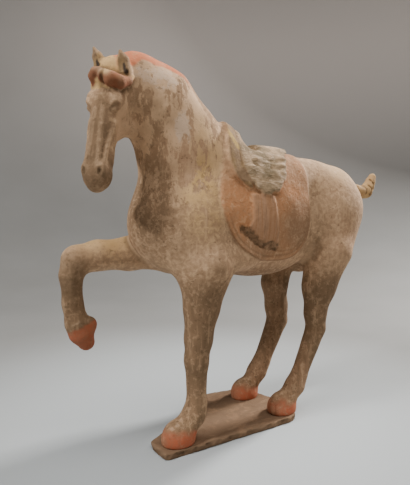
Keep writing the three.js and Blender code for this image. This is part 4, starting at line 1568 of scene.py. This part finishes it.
class CLAYHORSE_OT_studio(bpy.types.Operator):
    """Set up the paper sweep, the soft lights and the camera"""

    bl_idname = "clay_horse.studio"
    bl_label = "Set Up Studio"

    def execute(self, context):
        studio = context.scene.clay_studio
        self.sweep(context)
        add_light("tail_end_light", TAIL_END_LIGHT, studio.tail_end_power)
        add_light("breast_light", BREAST_LIGHT, studio.breast_power)
        add_light("ceiling_light", CEILING_LIGHT, studio.ceiling_power)
        world = context.scene.world or bpy.data.worlds.new("studio_air")
        context.scene.world = world
        world.use_nodes = True
        air = world.node_tree.nodes["Background"]
        air.inputs["Color"].default_value = (*studio.air, 1.0)
        air.inputs["Strength"].default_value = studio.air_strength
        self.camera(context)
        return {"FINISHED"}

    def sweep(self, context):
        """A round floor that curves up into a wall far outside the cameras' way"""
        bpy.ops.object.select_all(action="DESELECT")
        bpy.ops.mesh.primitive_circle_add(vertices=FLOOR_SIDES, radius=FLOOR_RADIUS, fill_type="NOTHING")
        floor = context.object
        floor.name = floor.data.name = "paper_sweep"
        bpy.ops.object.mode_set(mode="EDIT")
        bpy.ops.mesh.select_mode(type="EDGE")
        bpy.ops.mesh.select_all(action="SELECT")
        radius, height = FLOOR_RADIUS, 0.0
        for turn in range(WALL_FACET, 91, WALL_FACET):
            wide = FLOOR_RADIUS + WALL_CURVE * math.sin(math.radians(turn))
            high = WALL_CURVE * (1.0 - math.cos(math.radians(turn)))
            bpy.ops.mesh.extrude_region_move(TRANSFORM_OT_translate={"value": (0, 0, high - height)})
            bpy.ops.transform.resize(value=(wide / radius, wide / radius, 1))
            radius, height = wide, high
        bpy.ops.mesh.extrude_region_move(TRANSFORM_OT_translate={"value": (0, 0, WALL_TOP - height)})
        bpy.ops.mesh.select_all(action="DESELECT")
        bpy.ops.object.mode_set(mode="OBJECT")
        for edge in floor.data.edges:
            edge.select = all(floor.data.vertices[i].co.z < 1e-5 for i in edge.vertices)
        bpy.ops.object.mode_set(mode="EDIT")
        bpy.ops.mesh.edge_face_add()
        bpy.ops.mesh.select_all(action="SELECT")
        bpy.ops.mesh.normals_make_consistent(inside=True)
        bpy.ops.object.mode_set(mode="OBJECT")
        bpy.ops.object.shade_smooth()
        floor.data.materials.append(floor_paper(context.scene.clay_colours))

    def camera(self, context):
        """The camera, turned by its heading, its dip and its roll in this order"""
        studio = context.scene.clay_studio
        data = bpy.data.cameras.new("studio_camera")
        camera = bpy.data.objects.new("studio_camera", data)
        context.scene.collection.objects.link(camera)
        data.sensor_width = FRAME_WIDTH
        data.lens = studio.lens
        right = Vector((math.cos(studio.heading), math.sin(studio.heading), 0.0))
        ahead = Vector((-math.sin(studio.heading), math.cos(studio.heading), 0.0))
        sight = ahead * math.cos(studio.dip) - Vector((0, 0, math.sin(studio.dip)))
        up = ahead * math.sin(studio.dip) + Vector((0, 0, math.cos(studio.dip)))
        across = right * math.cos(studio.roll) + up * math.sin(studio.roll)
        upright = up * math.cos(studio.roll) - right * math.sin(studio.roll)
        turn = Matrix((across, upright, -sight)).transposed().to_4x4()
        camera.matrix_world = Matrix.Translation(Vector(studio.camera_at)) @ turn
        context.scene.camera = camera


class CLAYHORSE_PT_pieces(bpy.types.Panel):
    """The horse's pieces, sizes and colours"""

    bl_label = "Clay Horse"
    bl_idname = "CLAYHORSE_PT_pieces"
    bl_space_type = "VIEW_3D"
    bl_region_type = "UI"
    bl_category = "Clay Horse"

    def draw(self, context):
        layout = self.layout
        for operator in OPERATORS:
            layout.operator(operator.bl_idname)
        for group in (context.scene.clay_sizes, context.scene.clay_colours, context.scene.clay_studio):
            box = layout.box()
            for name in group.bl_rna.properties.keys():
                if name not in ("rna_type", "name"):
                    box.prop(group, name)


OPERATORS = (CLAYHORSE_OT_slab, CLAYHORSE_OT_horse, CLAYHORSE_OT_tail, CLAYHORSE_OT_studio)
CLASSES = (ClaySizes, PaintColours, StudioPlaces, *OPERATORS, CLAYHORSE_PT_pieces)


def register():
    for item in CLASSES:
        bpy.utils.register_class(item)
    bpy.types.Scene.clay_sizes = PointerProperty(type=ClaySizes)
    bpy.types.Scene.clay_colours = PointerProperty(type=PaintColours)
    bpy.types.Scene.clay_studio = PointerProperty(type=StudioPlaces)


def unregister():
    for name in ("clay_sizes", "clay_colours", "clay_studio"):
        delattr(bpy.types.Scene, name)
    for item in reversed(CLASSES):
        bpy.utils.unregister_class(item)


def main():
    register()
    bpy.ops.clay_horse.slab()
    bpy.ops.clay_horse.horse()
    bpy.ops.clay_horse.tail()
    bpy.ops.clay_horse.studio()


if __name__ == "__main__":
    main()
